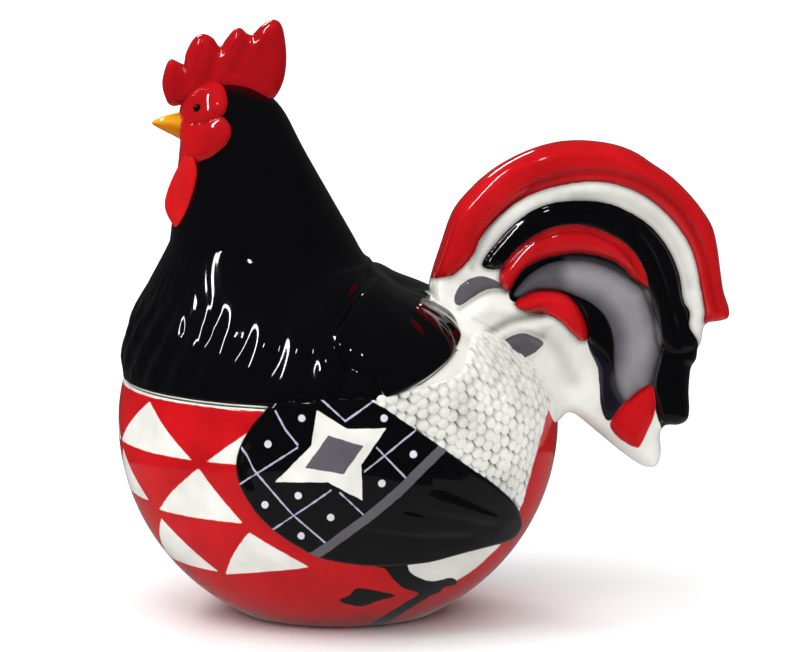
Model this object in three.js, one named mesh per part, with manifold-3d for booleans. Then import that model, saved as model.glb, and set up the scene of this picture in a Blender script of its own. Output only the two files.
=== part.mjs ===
// A ceramic rooster cookie jar: a round-bellied earthenware jar with a hooked tail, and a lid that is the
// bird's cape, neck and head. Millimetres, +Z up, beak towards -Y, left wing towards +X.
// The origin is the middle of the flat base, on the surface that the jar stands on.
import * as THREE from "three";
import { mergeVertices } from "three/addons/utils/BufferGeometryUtils.js";
import Module from "manifold-3d";

const wasm = await Module();
wasm.setup();

// ---- Driving dimensions ----
const BELLY = {
  halfLength: 102.5, // breast to rump, at the widest line
  halfWidth: 88,
  height: 90, // of the widest line above the base
  depth: 100, // how deep the full oval would reach below that line; the base cuts it off
  riseFront: 95, // how high the full oval would reach above that line, at the breast and flanks
  riseBack: 66, // and at the back, which is flatter
};
const WALL = 6; // slip-cast wall of the jar and the lid
const FLOOR = 7; // thickness of the jar's bottom
const SEAM = { front: 12.5, back: 66.5 }; // how far up the oval the lid's seam runs, in degrees
const JOINT_GAP = 0.5; // between the lid's edge and the rim it rests on
const LUTE_GAP = 0.3; // a slip joint between two castings of one piece
const LIFT_CLEARANCE = 1.2; // between the tail and the lid as it comes straight up
const LIFT_TOP = 300; // above everything
const FLANGE = { depth: 9, wall: 4, sealRoom: 3.2 }; // the skirt that holds the lid in the mouth
const SEAL = { thick: 1.4, height: 5, gap: 0.3, below: 2 }; // silicone band round the flange
const MOUTH_MIDDLE = -20; // y, where the sections of the lid's underside meet
const LID_HOLLOW_END = 20; // how far under the belly's widest line the lid's hollow is cut
const NECK = { z: 175, y: -34.8, halfLength: 43, halfWidth: 38.5 }; // where the cape ends
const HEAD = { z: 225, y: -46, halfLength: 26, halfWidth: 23, crown: 23.5, lean: -4 };
const CAPE = { hemRise: 30, hemTuck: 12, flare: 8, drop: 18, backDrop: 17 }; // pull of the cape's curve
const COMB = { thick: 12, round: 4 };
const WATTLE = { thick: 9, round: 3, apart: 6.2 };
const BEAK = { tip: [-85.6, 231], root: [-66, 229], height: 15, width: 13 };
const WING = { edge: 2.2, crown: 4.6 }; // how far the wing stands out at its edge and in its middle
// The web that all the feathers stand on, in the bird's middle plane.
const TAIL_WEB = [
  [58, 150], [60, 180], [80, 205], [110, 212], [140, 204], [163, 178], [170, 145], [163, 132],
  [157, 118], [156, 98], [148, 88], [144, 76], [130, 82], [112, 98], [88, 120],
];
// The drain hollow left in the tail's root.
const TAIL_CAVITY = { thick: 40, line: [[52, 102, 70, 42], [72, 123, 66, 38], [86, 138, 46, 18]] };

// Outlines in the bird's middle plane, as [y, z].
const COMB_OUTLINE = [
  [-66, 238], [-77.6, 239], [-80.5, 248], [-77, 258.4], [-71, 255], [-67.5, 266], [-61.8, 270.8],
  [-54.4, 265.2], [-49.5, 271], [-45, 273], [-38.5, 270.4], [-28.4, 276.7], [-23.6, 268],
  [-23.6, 256], [-26.5, 245], [-31, 238], [-50, 232],
];
const WATTLE_OUTLINE = [
  [-68.5, 218], [-74.5, 207], [-78.6, 197], [-79.3, 190], [-74.4, 183.4], [-69, 189], [-65.6, 200],
  [-63.5, 216],
];
// The left wing's edge on the belly, as [y, height above the belly's widest line].
const WING_OUTLINE = [
  [-47, -10], [-42, 7], [-30, 16.5], [-8, 17.6], [12, 17], [28, 13], [46, 1.4], [59, -7.4], [71, -17.6],
  [81, -29], [84.8, -41], [78, -50], [64, -53.3], [43, -57.4], [21, -58.3], [-2, -54], [-22, -45.4],
  [-38, -32.5],
];
// The tail's feathers: [y, z, width] down the middle of each. Thick is across the bird, and a fourth number in
// a line replaces it at that point.
const FEATHERS = {
  outer: { thick: 20, line: [[56, 146, 16], [52, 160, 15], [57.5, 178, 17], [68.5, 193.5, 18.5], [81.5, 204.5, 19],
    [98, 211, 18.5], [115, 212.5, 17.5], [134, 208.5, 16.5], [152, 197.5, 15], [165, 181, 13.5], [171.5, 160, 11.5],
    [174.5, 145, 12], [176.5, 137, 9]] },
  white: { thick: 14, line: [[62, 150, 14], [70, 172, 12], [94, 194.5, 13], [111, 199, 13], [129, 197, 13],
    [144, 189, 14], [155, 177, 14], [162, 162, 13], [166, 146, 12], [167.5, 128, 7]] },
  black: { thick: 19, line: [[71, 161, 4], [81.5, 174.7, 8], [94.4, 185, 11], [109.5, 189.3, 12], [127, 187.5, 13.5],
    [137.5, 181.5, 15], [145.5, 173, 17], [151, 161, 19], [153.5, 150, 20], [156, 138, 20], [159, 122, 13]] },
  back: { thick: 15, line: [[148, 150, 14], [151, 135, 17], [155, 118, 17], [156.5, 102, 16], [156.5, 91, 14]] },
  red: { thick: 21, line: [[77, 155, 6], [82, 164.5, 10], [91.6, 173, 13], [103.7, 176.6, 14], [117.2, 176.4, 14],
    [128.8, 171.5, 13], [136.7, 164, 11], [141.5, 156, 6]] },
  grey: { thick: 17, line: [[80, 146, 10], [92, 157, 16], [107.9, 160, 18], [122, 156.5, 20], [133, 146, 23],
    [138, 133, 24], [139.5, 119, 21], [135, 103, 10]] },
  small: { thick: 21, line: [[83, 143, 7], [91.6, 147.4, 10], [99.5, 146.4, 11], [107, 141, 11], [111.8, 134, 10],
    [114.5, 128.5, 7]] },
  inner: { thick: 18, line: [[104, 149, 8], [115, 144, 11], [120.5, 134, 13], [123.5, 120, 12], [125, 105, 13],
    [127, 93, 9]] },
  lower: { thick: 17, line: [[92, 128, 34], [104, 113, 32], [117, 100, 31], [130, 88, 27], [141, 78, 19], [147, 71, 8]] },
  rump: { thick: 56, line: [[52, 102, 84, 60], [72, 123, 84, 56], [88, 140, 72, 36], [100, 152, 52, 24],
    [108, 160, 30, 18]] },
};

// How finely each piece is faceted.
const STEPS = { around: 56, belly: 13, inside: 10, crown: 5, neck: 4, cape: 8, wing: 36, ring: 10, feather: 12 };

const COLOURS = { red: 0xb3161a, white: 0xecece6, black: 0x0a0a0c, beak: 0xe0952a, silicone: 0xdfe3e2 };

// ---- Geometry helpers ----
const degrees = (n) => (n * Math.PI) / 180;
const mix = (from, to, share) => from + (to - from) * share;
const smooth = (x) => x * x * (3 - 2 * x);
const clamp01 = (x) => Math.min(1, Math.max(0, x));
/** 1 for a direction that points straight back, falling to 0 at the flanks and all round the breast. */
const backness = (turn) => Math.max(0, Math.cos(turn)) ** 2;
const fractions = (count) => Array.from({ length: count + 1 }, (_, i) => i / count);

/**
 * A closed surface turned round an upright axis like a lathe's, whose profile changes with the direction.
 * profileAt(turn) gives the same number of points for every turn. A profile that is open starts and ends at
 * two points that all directions share; a looped one closes on itself, as a ring's does.
 */
function turned(profileAt, steps, looped = false) {
  const profiles = Array.from({ length: steps }, (_, i) => profileAt((i / steps) * 2 * Math.PI));
  const rows = profiles[0].length;
  const points = [];
  const index = (column, row) => {
    if (!looped && row === 0) return 0;
    if (!looped && row === rows - 1) return 1;
    return (looped ? 0 : 2) + (column % steps) * (looped ? rows : rows - 2) + (looped ? row % rows : row - 1);
  };
  if (!looped) points.push(profiles[0][0], profiles[0][rows - 1]);
  for (const profile of profiles) points.push(...(looped ? profile : profile.slice(1, -1)));
  const faces = [];
  for (let column = 0; column < steps; column++) {
    for (let row = 0; row < (looped ? rows : rows - 1); row++) {
      const a = index(column, row);
      const b = index(column + 1, row);
      const c = index(column + 1, row + 1);
      const d = index(column, row + 1);
      if (a !== b) faces.push(a, b, c);
      if (c !== d) faces.push(a, c, d);
    }
  }
  return new THREE.BufferGeometry().setFromPoints(points).setIndex(faces);
}

/** A geometry as a manifold-3d solid, whichever way its faces were wound. */
function solid(geometry) {
  const bare = geometry.clone();
  bare.deleteAttribute("normal");
  bare.deleteAttribute("uv");
  const merged = mergeVertices(bare, 1e-4);
  const positions = new Float32Array(merged.attributes.position.array);
  const faces = new Uint32Array(merged.index.array);
  const made = new wasm.Manifold(new wasm.Mesh({ numProp: 3, vertProperties: positions, triVerts: faces }));
  if (made.volume() > 0) return made;
  for (let i = 0; i < faces.length; i += 3) [faces[i + 1], faces[i + 2]] = [faces[i + 2], faces[i + 1]];
  return new wasm.Manifold(new wasm.Mesh({ numProp: 3, vertProperties: positions, triVerts: faces }));
}

/** A finished solid as a named mesh with its glaze. */
function piece(name, shape, colour, roughness = 0.12) {
  const mesh = shape.getMesh();
  const geometry = new THREE.BufferGeometry();
  geometry.setAttribute("position", new THREE.BufferAttribute(mesh.vertProperties, 3));
  geometry.setIndex(new THREE.BufferAttribute(mesh.triVerts, 1));
  geometry.computeVertexNormals();
  const made = new THREE.Mesh(geometry, new THREE.MeshStandardMaterial({ color: colour, roughness, metalness: 0 }));
  made.name = name;
  return made;
}

// ---- The belly: one oval form that the jar's wall, the seam, the flange and the wings all take their places from ----
const riseAt = (turn) => {
  const flank = clamp01((Math.abs(Math.atan2(Math.sin(turn), Math.cos(turn))) - degrees(30)) / degrees(60));
  return mix(BELLY.riseBack, BELLY.riseFront, smooth(flank));
};
/** The point of the belly in a direction, up the oval by an angle, grown by proud or shrunk where it is negative. */
function belly(turn, angle, proud = 0) {
  const reach = Math.cos(angle);
  const height = (angle < 0 ? BELLY.depth : riseAt(turn)) + proud;
  return new THREE.Vector3(
    (BELLY.halfWidth + proud) * reach * Math.sin(turn),
    (BELLY.halfLength + proud) * reach * Math.cos(turn),
    BELLY.height + height * Math.sin(angle),
  );
}
const seamAngle = (turn) => degrees(mix(SEAM.front, SEAM.back, backness(turn)));
/** The angle at which the oval, grown by proud, passes a height below its widest line. */
const angleAt = (z, proud = 0) => -Math.asin((BELLY.height - z) / (BELLY.depth + proud));

/** The jar's whole outside, filled, up to the rim; grown by proud. Its facets are the jar's own, moved out. */
function filledBelly(proud) {
  const foot = angleAt(0);
  return solid(turned((turn) => [
    new THREE.Vector3(0, 0, 0),
    ...fractions(STEPS.belly).map((f) => belly(turn, mix(foot, seamAngle(turn), f), proud)),
    belly(turn, seamAngle(turn), -WALL),
    new THREE.Vector3(0, 0, BELLY.height),
  ], STEPS.around));
}

function jarBowl() {
  const foot = angleAt(0);
  const inside = angleAt(FLOOR, -WALL);
  return solid(turned((turn) => [
    new THREE.Vector3(0, 0, 0),
    ...fractions(STEPS.belly).map((f) => belly(turn, mix(foot, seamAngle(turn), f))),
    ...fractions(STEPS.inside).map((f) => belly(turn, mix(seamAngle(turn), inside, f), -WALL)),
    new THREE.Vector3(0, 0, FLOOR),
  ], STEPS.around));
}

// ---- The mouth: the rim, seen from above, set in by the flange's and the seal's clearances ----
/** The rim's outer edge, or at a depth into the wall its inner edge, moved level into the mouth, then up. */
function besideRim(turn, depth, inset, rise) {
  const step = 1e-3;
  const rim = (at) => belly(at, seamAngle(at), -depth);
  const along = rim(turn + step).sub(rim(turn - step));
  const inward = new THREE.Vector3(-along.y, along.x, 0).normalize();
  if (inward.dot(new THREE.Vector3(-Math.sin(turn), -Math.cos(turn), 0)) < 0) inward.negate();
  return rim(turn).addScaledVector(inward, inset).add(new THREE.Vector3(0, 0, rise));
}
const inMouth = (turn, inset, rise) => besideRim(turn, WALL, inset, rise);
/** A band that follows the mouth, between two insets and two heights above the rim's inner edge. */
const mouthBand = (outer, inner, low, high) => solid(turned((turn) => [
  inMouth(turn, outer, low), inMouth(turn, inner, low), inMouth(turn, inner, high), inMouth(turn, outer, high),
], STEPS.around, true));

// ---- The lid ----
/** A ring of the neck at a height between the cape's end and the head's widest line. */
function neckRing(turn, z) {
  const share = (z - NECK.z) / (HEAD.z - NECK.z);
  return new THREE.Vector3(
    mix(NECK.halfWidth, HEAD.halfWidth, share) * Math.sin(turn),
    mix(NECK.y, HEAD.y, share) + mix(NECK.halfLength, HEAD.halfLength, share) * Math.cos(turn),
    z,
  );
}
function crown(turn, angle) {
  return new THREE.Vector3(
    HEAD.halfWidth * Math.sin(angle) * Math.sin(turn),
    HEAD.y + HEAD.lean * Math.cos(angle) + HEAD.halfLength * Math.sin(angle) * Math.cos(turn),
    HEAD.z + HEAD.crown * Math.cos(angle),
  );
}
/** The cape's curve in a direction, from the neck's end at 0 to the seam at 1. */
function cape(turn, share) {
  const back = backness(turn);
  const outward = new THREE.Vector3(Math.sin(turn), Math.cos(turn), 0);
  const top = neckRing(turn, NECK.z);
  const hem = belly(turn, seamAngle(turn)).add(new THREE.Vector3(0, 0, JOINT_GAP));
  const rise = CAPE.hemRise * (1 - back);
  const lift = hem.clone().addScaledVector(outward, -CAPE.hemTuck * back).add(new THREE.Vector3(0, 0, rise));
  const drop = mix(CAPE.drop, CAPE.backDrop, back);
  const flare = top.clone().addScaledVector(outward, CAPE.flare).sub(new THREE.Vector3(0, 0, drop));
  return new THREE.CubicBezierCurve3(top, flare, lift, hem).getPoint(share);
}
/** The lid's skin: 0 to 1 is the crown, 1 to 2 the neck and 2 to 3 the cape. */
function lidSkin(turn, along) {
  if (along <= 1) return crown(turn, (along * Math.PI) / 2);
  if (along <= 2) return neckRing(turn, mix(HEAD.z, NECK.z, along - 1));
  return cape(turn, along - 2);
}
/** The lid's skin moved outwards by proud, or inwards where it is negative, square to the surface. */
function lidOffset(turn, along, proud) {
  const step = 1e-3;
  const at = Math.min(Math.max(along, 0.02), 3 - step);
  const across = lidSkin(turn + step, at).sub(lidSkin(turn - step, at));
  const down = lidSkin(turn, at + step).sub(lidSkin(turn, at - step));
  return lidSkin(turn, along).addScaledVector(across.cross(down).normalize(), proud);
}
/** The lid's form down to its hem, filled; its skin grown by proud. */
function filledLid(proud) {
  const rows = [
    ...fractions(STEPS.crown).slice(1),
    ...fractions(STEPS.neck).slice(1).map((f) => 1 + f),
    ...fractions(STEPS.cape).slice(1).map((f) => 2 + f),
  ];
  const summit = lidSkin(0, 0).add(new THREE.Vector3(0, 0, proud));
  return solid(turned((turn) => [
    summit,
    ...rows.map((along) => lidOffset(turn, along, proud)),
    inMouth(turn, 0, JOINT_GAP),
    inMouth(turn, FLANGE.sealRoom + FLANGE.wall, JOINT_GAP),
    new THREE.Vector3(0, MOUTH_MIDDLE, BELLY.height),
  ], STEPS.around));
}
function lidShell() {
  const skirtInset = FLANGE.sealRoom + FLANGE.wall;
  const hollow = solid(turned((turn) => [
    lidSkin(0, 0).add(new THREE.Vector3(0, 0, -WALL * 1.6)),
    ...[0.45, 0.75, 1, 1.5, 2, 2.2, 2.4, 2.6, 2.78].map((along) => lidOffset(turn, along, -WALL)),
    inMouth(turn, skirtInset, WALL * 0.4),
    inMouth(turn, skirtInset, -FLANGE.depth * 1.5),
    new THREE.Vector3(0, MOUTH_MIDDLE, BELLY.height - LID_HOLLOW_END),
  ], STEPS.around));
  const skirt = mouthBand(FLANGE.sealRoom, skirtInset - 0.5, -FLANGE.depth, WALL * 0.7);
  const cover = filledLid(0);
  return cover.add(skirt).subtract(hollow);
}
/** The room that the lid sweeps as it is lifted straight up, with a clearance round it. */
const liftPath = () => solid(turned((turn) => [
  new THREE.Vector3(0, MOUTH_MIDDLE, BELLY.height),
  besideRim(turn, 0, -LIFT_CLEARANCE, -JOINT_GAP),
  besideRim(turn, 0, -LIFT_CLEARANCE, 0).setZ(LIFT_TOP),
  new THREE.Vector3(0, MOUTH_MIDDLE, LIFT_TOP),
], STEPS.around));
const lidSeal = () => {
  const outer = FLANGE.sealRoom - SEAL.gap - SEAL.thick;
  return mouthBand(outer, outer + SEAL.thick, -SEAL.below - SEAL.height, -SEAL.below);
};

/** A rounded plate with an outline in the bird's middle plane, centred at x. */
function plate(outline, thick, round, x) {
  const edge = new THREE.CatmullRomCurve3(outline.map(([y, z]) => new THREE.Vector3(y, z, 0)), true, "centripetal");
  const rim = edge.getPoints(outline.length * 2).slice(1);
  const shape = new THREE.Shape(rim.map((p) => new THREE.Vector2(p.x, p.y)));
  const geometry = new THREE.ExtrudeGeometry(shape, {
    depth: thick - 2 * round, bevelEnabled: true, bevelThickness: round, bevelSize: round, bevelOffset: -round,
    bevelSegments: 2, steps: 1,
  });
  // The shape's own x, y and depth become the bird's y, z and x.
  geometry.translate(0, 0, -(thick - 2 * round) / 2);
  geometry.applyMatrix4(new THREE.Matrix4().set(0, 0, 1, x, 1, 0, 0, 0, 0, 1, 0, 0, 0, 0, 0, 1));
  return solid(geometry);
}
const headKeepOut = filledLid(LUTE_GAP);
const comb = () => plate(COMB_OUTLINE, COMB.thick, COMB.round, 0).subtract(headKeepOut);
const wattle = (side) => plate(WATTLE_OUTLINE, WATTLE.thick, WATTLE.round, side * WATTLE.apart).subtract(headKeepOut);

function beak() {
  const [tipY, tipZ] = BEAK.tip;
  const [rootY, rootZ] = BEAK.root;
  return solid(turned((turn) => [
    new THREE.Vector3(0, rootY, rootZ),
    ...[0, 0.35, 0.65, 0.88].map((f) => new THREE.Vector3(
      (BEAK.width / 2) * (1 - f ** 1.5) * Math.sin(turn),
      mix(rootY, tipY, f),
      mix(rootZ, tipZ, f ** 2) + (BEAK.height / 2) * (1 - f ** 1.3) * Math.cos(turn) - 2.5 * (1 - f),
    )),
    new THREE.Vector3(0, tipY, tipZ),
  ], 16)).subtract(headKeepOut);
}

// ---- The tail: feathers that run into each other, on a root that is luted to the rump ----
/** One feather: an oval tube down its line in the middle plane, closed and rounded at both ends. */
function feather({ line, thick }) {
  const most = Math.max(...line.map(([, , w]) => w));
  const route = new THREE.CatmullRomCurve3(line.map(([y, z]) => new THREE.Vector3(0, y, z)), false, "centripetal");
  const sizes = new THREE.CatmullRomCurve3(line.map(([, , w, t], i) => {
    const taper = Math.min(1, 0.45 + (0.55 * w) / (0.7 * most));
    return new THREE.Vector3(i / (line.length - 1), w, t ?? thick * taper);
  }));
  const first = route.getPoint(0);
  const last = route.getPoint(1);
  const lead = (line[0][2] / 2) * 0.6;
  const trail = (line.at(-1)[2] / 2) * 0.6;
  const firstWay = route.getTangent(0);
  const lastWay = route.getTangent(1);
  return solid(turned((turn) => [
    first.clone().addScaledVector(firstWay, -lead),
    ...fractions(STEPS.feather).map((f) => {
      const way = route.getTangent(f);
      const size = sizes.getPoint(f);
      return route.getPoint(f)
        .addScaledVector(new THREE.Vector3(0, -way.z, way.y), (size.y / 2) * Math.cos(turn))
        .add(new THREE.Vector3((size.z / 2) * Math.sin(turn), 0, 0));
    }),
    last.clone().addScaledVector(lastWay, trail),
  ], STEPS.ring));
}
function tail() {
  const web = plate(TAIL_WEB, FEATHERS.white.thick * 0.8, COMB.round, 0);
  const plumes = Object.values(FEATHERS).map(feather).reduce((whole, next) => whole.add(next), web);
  const cut = plumes.subtract(feather(TAIL_CAVITY)).subtract(filledBelly(LUTE_GAP)).subtract(liftPath());
  // The cuts can leave a sliver of the root inside the lid's path; the casting is the largest piece.
  return cut.decompose().sort((one, other) => other.volume() - one.volume())[0];
}

// ---- The wings ----
/** The direction and angle on the belly's left side of a point given by its y and height over the widest line. */
function onBelly(y, above) {
  let turn = Math.PI / 2;
  let angle = 0;
  for (let pass = 0; pass < 6; pass++) {
    angle = Math.asin(above / (above < 0 ? BELLY.depth : riseAt(turn)));
    turn = Math.acos(y / (BELLY.halfLength * Math.cos(angle)));
  }
  return { turn, angle };
}
function wing(side) {
  const outline = new THREE.CatmullRomCurve3(WING_OUTLINE.map(([y, above]) => {
    const { turn, angle } = onBelly(y, above);
    return new THREE.Vector3(turn, angle, 0);
  }), true, "centripetal");
  const middle = outline.getPoints(WING_OUTLINE.length).reduce((sum, p) => sum.add(p), new THREE.Vector3())
    .divideScalar(WING_OUTLINE.length + 1);
  const at = (edge, reach, proud) => {
    const spot = middle.clone().lerp(edge, reach);
    const point = belly(spot.x, spot.y, proud);
    return point.setX(point.x * side);
  };
  return solid(turned((turn) => {
    const edge = outline.getPoint((turn / (2 * Math.PI)) % 1);
    return [
      at(edge, 0, WING.crown),
      ...[0.35, 0.65, 0.88].map((reach) => at(edge, reach, mix(WING.crown, WING.edge, reach ** 3))),
      at(edge, 1, WING.edge * 0.45),
      ...[1, 0.5, 0].map((reach) => at(edge, reach, -WING.edge)),
    ];
  }, STEPS.wing)).subtract(filledBelly(LUTE_GAP));
}

// ---- Assembly ----
const jar = new THREE.Group();
jar.add(
  piece("jar_bowl", jarBowl(), COLOURS.red),
  piece("tail", tail(), COLOURS.white),
  piece("left_wing", wing(1), COLOURS.black),
  piece("right_wing", wing(-1), COLOURS.black),
);
const lid = new THREE.Group();
lid.add(
  piece("lid_shell", lidShell(), COLOURS.black),
  piece("comb", comb(), COLOURS.red),
  piece("beak", beak(), COLOURS.beak),
  piece("left_wattle", wattle(1), COLOURS.red),
  piece("right_wattle", wattle(-1), COLOURS.red),
  piece("lid_seal", lidSeal(), COLOURS.silicone, 0.5),
);
const rooster = new THREE.Group();
rooster.add(jar, lid);

export default rooster;
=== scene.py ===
# %% [markdown]
# # A ceramic rooster cookie jar
# The jar is slip-cast earthenware: a hollow belly with a hooked tail, and a lid that is the bird's cape,
# neck and head. It was painted by hand and covered with a clear glossy glaze. This lesson works its
# surfaces out with numpy, puts them into Blender as meshes, and paints them with distances that are
# stored on the vertices, the way a decorator lays out a pattern before filling it in.

import bpy
import numpy as np
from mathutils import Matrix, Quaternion, Vector


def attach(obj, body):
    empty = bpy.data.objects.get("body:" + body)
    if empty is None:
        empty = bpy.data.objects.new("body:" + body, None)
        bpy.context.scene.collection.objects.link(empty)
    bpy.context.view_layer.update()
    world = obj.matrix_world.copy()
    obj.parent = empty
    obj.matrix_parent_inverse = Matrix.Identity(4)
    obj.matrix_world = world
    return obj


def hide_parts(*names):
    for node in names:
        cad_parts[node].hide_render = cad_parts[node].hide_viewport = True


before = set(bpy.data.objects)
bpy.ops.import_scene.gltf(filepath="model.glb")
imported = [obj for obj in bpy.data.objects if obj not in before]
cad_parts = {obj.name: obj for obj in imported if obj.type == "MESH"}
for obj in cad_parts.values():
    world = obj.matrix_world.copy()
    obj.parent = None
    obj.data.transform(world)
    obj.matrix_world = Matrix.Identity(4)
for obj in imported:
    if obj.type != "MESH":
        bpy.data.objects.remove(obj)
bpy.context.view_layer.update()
scene = bpy.context.scene
print("frame:", sorted(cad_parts))

# %% [markdown]
# ## The belly as a formula
# The belly could be turned from one profile, as on a wheel, but this one is oval and its mouth slants up
# to the back. So it is a formula, and everything on the jar takes its place from it: the wall, the rim,
# the wings, the scales and the paint. Writing the oval once keeps them in touch. Sizes here are in
# millimetres, as they are on a potter's drawing, and become metres only when a mesh is made.

# %% The oval belly and the line of the lid's seam
MM = 0.001
HALF_LENGTH, HALF_WIDTH = 102.5, 88.0
WIDEST_Z = 90.0  # height of the widest line
DEPTH = 100.0  # how deep the whole oval would reach below it
RISE_FRONT, RISE_BACK = 95.0, 66.0  # how high it would reach above it
SEAM_FRONT, SEAM_BACK = 12.5, 66.5  # how far up the oval the seam runs, in degrees
WALL, FLOOR, JOINT_GAP = 6.0, 7.0, 0.5


def blend(a, b, share):
    return a + (b - a) * share


def along_xyz(x, y, z):
    """Three arrays of coordinates, made the same shape, as one array of points."""
    return np.stack(np.broadcast_arrays(x, y, z), -1)


def smooth(x):
    """0 below 0, 1 above 1, and an S-curve between."""
    x = np.clip(x, 0, 1)
    return x * x * (3 - 2 * x)


def rise(turn):
    """The oval is flatter over the back: its rise goes from the back's to the front's by an S-curve."""
    off_back = np.abs(np.arctan2(np.sin(turn), np.cos(turn)))
    return blend(RISE_BACK, RISE_FRONT, smooth((np.degrees(off_back) - 30) / 60))


def belly(turn, angle, proud=0.0):
    """Direction round the jar (0 is the tail, a quarter turn the left wing) and angle up the oval to a point."""
    reach = np.cos(angle)
    height = np.where(angle < 0, DEPTH, rise(turn)) + proud
    x = (HALF_WIDTH + proud) * reach * np.sin(turn)
    y = (HALF_LENGTH + proud) * reach * np.cos(turn)
    return along_xyz(x, y, WIDEST_Z + height * np.sin(angle))


def turn_at(points):
    """The direction round the jar of each point, as belly() takes it."""
    return np.arctan2(points[..., 0] / HALF_WIDTH, points[..., 1] / HALF_LENGTH)


def half_axes(points):
    """The oval's half axes where each point lies: its height differs above and below the widest line."""
    height = np.where(points[..., 2] < WIDEST_Z, DEPTH, rise(turn_at(points)))
    return along_xyz(HALF_WIDTH, HALF_LENGTH, height)


def backness(turn):
    """1 straight back, 0 from the flanks forward."""
    return np.maximum(0, np.cos(turn)) ** 2


def seam(turn):
    """The angle up the oval at which the lid meets the jar."""
    return np.radians(blend(SEAM_FRONT, SEAM_BACK, backness(turn)))


def belly_half_width_squared(y, z):
    """x squared on the oval for a place in the side view; below zero outside its outline."""
    turn = np.full_like(y, np.pi / 2)
    for _ in range(8):
        height = np.where(z < WIDEST_Z, DEPTH, rise(turn))
        squared = HALF_WIDTH**2 * (1 - (y / HALF_LENGTH) ** 2 - ((z - WIDEST_Z) / height) ** 2)
        turn = np.arctan2(np.sqrt(np.maximum(squared, 1)) / HALF_WIDTH, y / HALF_LENGTH)
    return squared


print("rim heights, breast and back:", belly(np.pi, seam(np.pi))[2].round(1), belly(0, seam(0))[2].round(1))

# %% [markdown]
# ## The side view
# A decorator holds the jar at arm's length and paints what is seen from the side. A UV map would have to
# be drawn for each piece, and its seams would cut the shapes. The paint is laid out in one side view
# instead: a fixed eye to the bird's left, a little above, and its mirror image for the right side.
# Turning each point of the clay into that view gives coordinates that every painted shape and every
# raised feather share.

# %% Points of the clay in the side view
EYE_DISTANCE = 1800.0
EYE_UP = np.radians(9.5)
EYE_Y, EYE_Z = 28.8, 134.4  # the point that the eye looks at, in the middle plane


def side_view(points):
    """Perspective division of (length, height) by the distance to the eye, with x taken as its size."""
    x, y, z = np.abs(points[..., 0]), points[..., 1], points[..., 2]
    nearer = x * np.cos(EYE_UP) + (z - EYE_Z) * np.sin(EYE_UP)
    scale = EYE_DISTANCE / (EYE_DISTANCE - nearer)
    across = EYE_Y + (y - EYE_Y) * scale
    up = EYE_Z * np.cos(EYE_UP) + ((z - EYE_Z) * np.cos(EYE_UP) - x * np.sin(EYE_UP)) * scale
    return np.stack([across, up], -1)


def from_side_view(view, x):
    """y and z of a side-view place, for points that stand x out from the middle plane."""
    z = np.full_like(x, EYE_Z)
    for _ in range(4):
        nearer = x * np.cos(EYE_UP) + (z - EYE_Z) * np.sin(EYE_UP)
        scale = EYE_DISTANCE / (EYE_DISTANCE - nearer)
        z = EYE_Z + ((view[..., 1] - EYE_Z * np.cos(EYE_UP)) / scale + x * np.sin(EYE_UP)) / np.cos(EYE_UP)
    return EYE_Y + (view[..., 0] - EYE_Y) / scale, z


def on_belly(view):
    """The point of the belly's left side seen at a place in the side view, by repeated correction."""
    x = np.full(view.shape[:-1], 60.0)
    for _ in range(60):
        y, z = from_side_view(view, x)
        x = 0.5 * x + 0.5 * np.sqrt(np.maximum(belly_half_width_squared(y, z), 0))
    y, z = from_side_view(view, x)
    return np.stack([x, y, z], -1)


print("star's place on the belly:", on_belly(np.array([[-1.0, 73.0]])).round(1))

# %% [markdown]
# ## Outlines and distances
# A painted patch is a closed outline. For each vertex the signed distance to that outline is stored,
# above zero inside, and the material turns it into a crisp border however coarse the mesh is. The same
# distances raise feathers out of the clay, so paint and relief always agree.

# %% Curves and signed distances
def curve(points, steps=6, closed=True):
    """A Catmull-Rom curve through the points: each span is a cubic that its four nearest points set."""
    p = np.asarray(points, float)
    if not closed:
        p = np.vstack([2 * p[0] - p[1], p, 2 * p[-1] - p[-2]])
    spans = len(points) if closed else len(points) - 1
    i = np.arange(spans)[:, None] + (0 if closed else 1)
    t = (np.arange(steps) / steps)[None, :, None]
    a, b, c, d = (p[(i + k) % len(p)] for k in (-1, 0, 1, 2))
    out = 0.5 * (2 * b + (c - a) * t + (2 * a - 5 * b + 4 * c - d) * t**2 + (3 * b - a - 3 * c + d) * t**3)
    out = out.reshape(-1, p.shape[1])
    return out if closed else np.vstack([out, p[-2]])


def distance_to(view, path):
    """The least distance from each point to the straight pieces of a path."""
    least = np.full(view.shape[:-1], 1e9)
    for start, end in zip(path[:-1], path[1:]):
        along = end - start
        offset = view - start
        share = np.clip(offset @ along / max(along @ along, 1e-12), 0, 1)
        gap = offset - share[..., None] * along
        least = np.minimum(least, np.hypot(gap[..., 0], gap[..., 1]))
    return least


def inside(view, outline):
    """The signed distance to a closed outline: above zero inside, by counting crossings of a level ray."""
    u, v = view[..., 0], view[..., 1]
    within = np.zeros(u.shape, bool)
    ring = np.vstack([outline, outline[:1]])
    for (u0, v0), (u1, v1) in zip(ring[:-1], ring[1:]):
        if v0 != v1:
            within ^= ((v0 > v) != (v1 > v)) & (u < u0 + (v - v0) * (u1 - u0) / (v1 - v0))
    return np.where(within, 1.0, -1.0) * distance_to(view, ring)


def stroke(view, path, width):
    """Above zero within half a width of an open path: a brush line."""
    return width / 2 - distance_to(view, np.asarray(path, float))


def near(view, path, width, steps=6):
    """1 on a smooth open path and less beside it: a bell curve of the distance over a width."""
    return np.exp(-((distance_to(view, curve(path, steps, closed=False)) / width) ** 2))


def from_spots(view, spots):
    """The distance to the nearest of a few spots."""
    return np.minimum.reduce([np.hypot(view[..., 0] - u, view[..., 1] - v) for u, v in spots])


def union(*fields):
    return np.maximum.reduce(fields)


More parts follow.
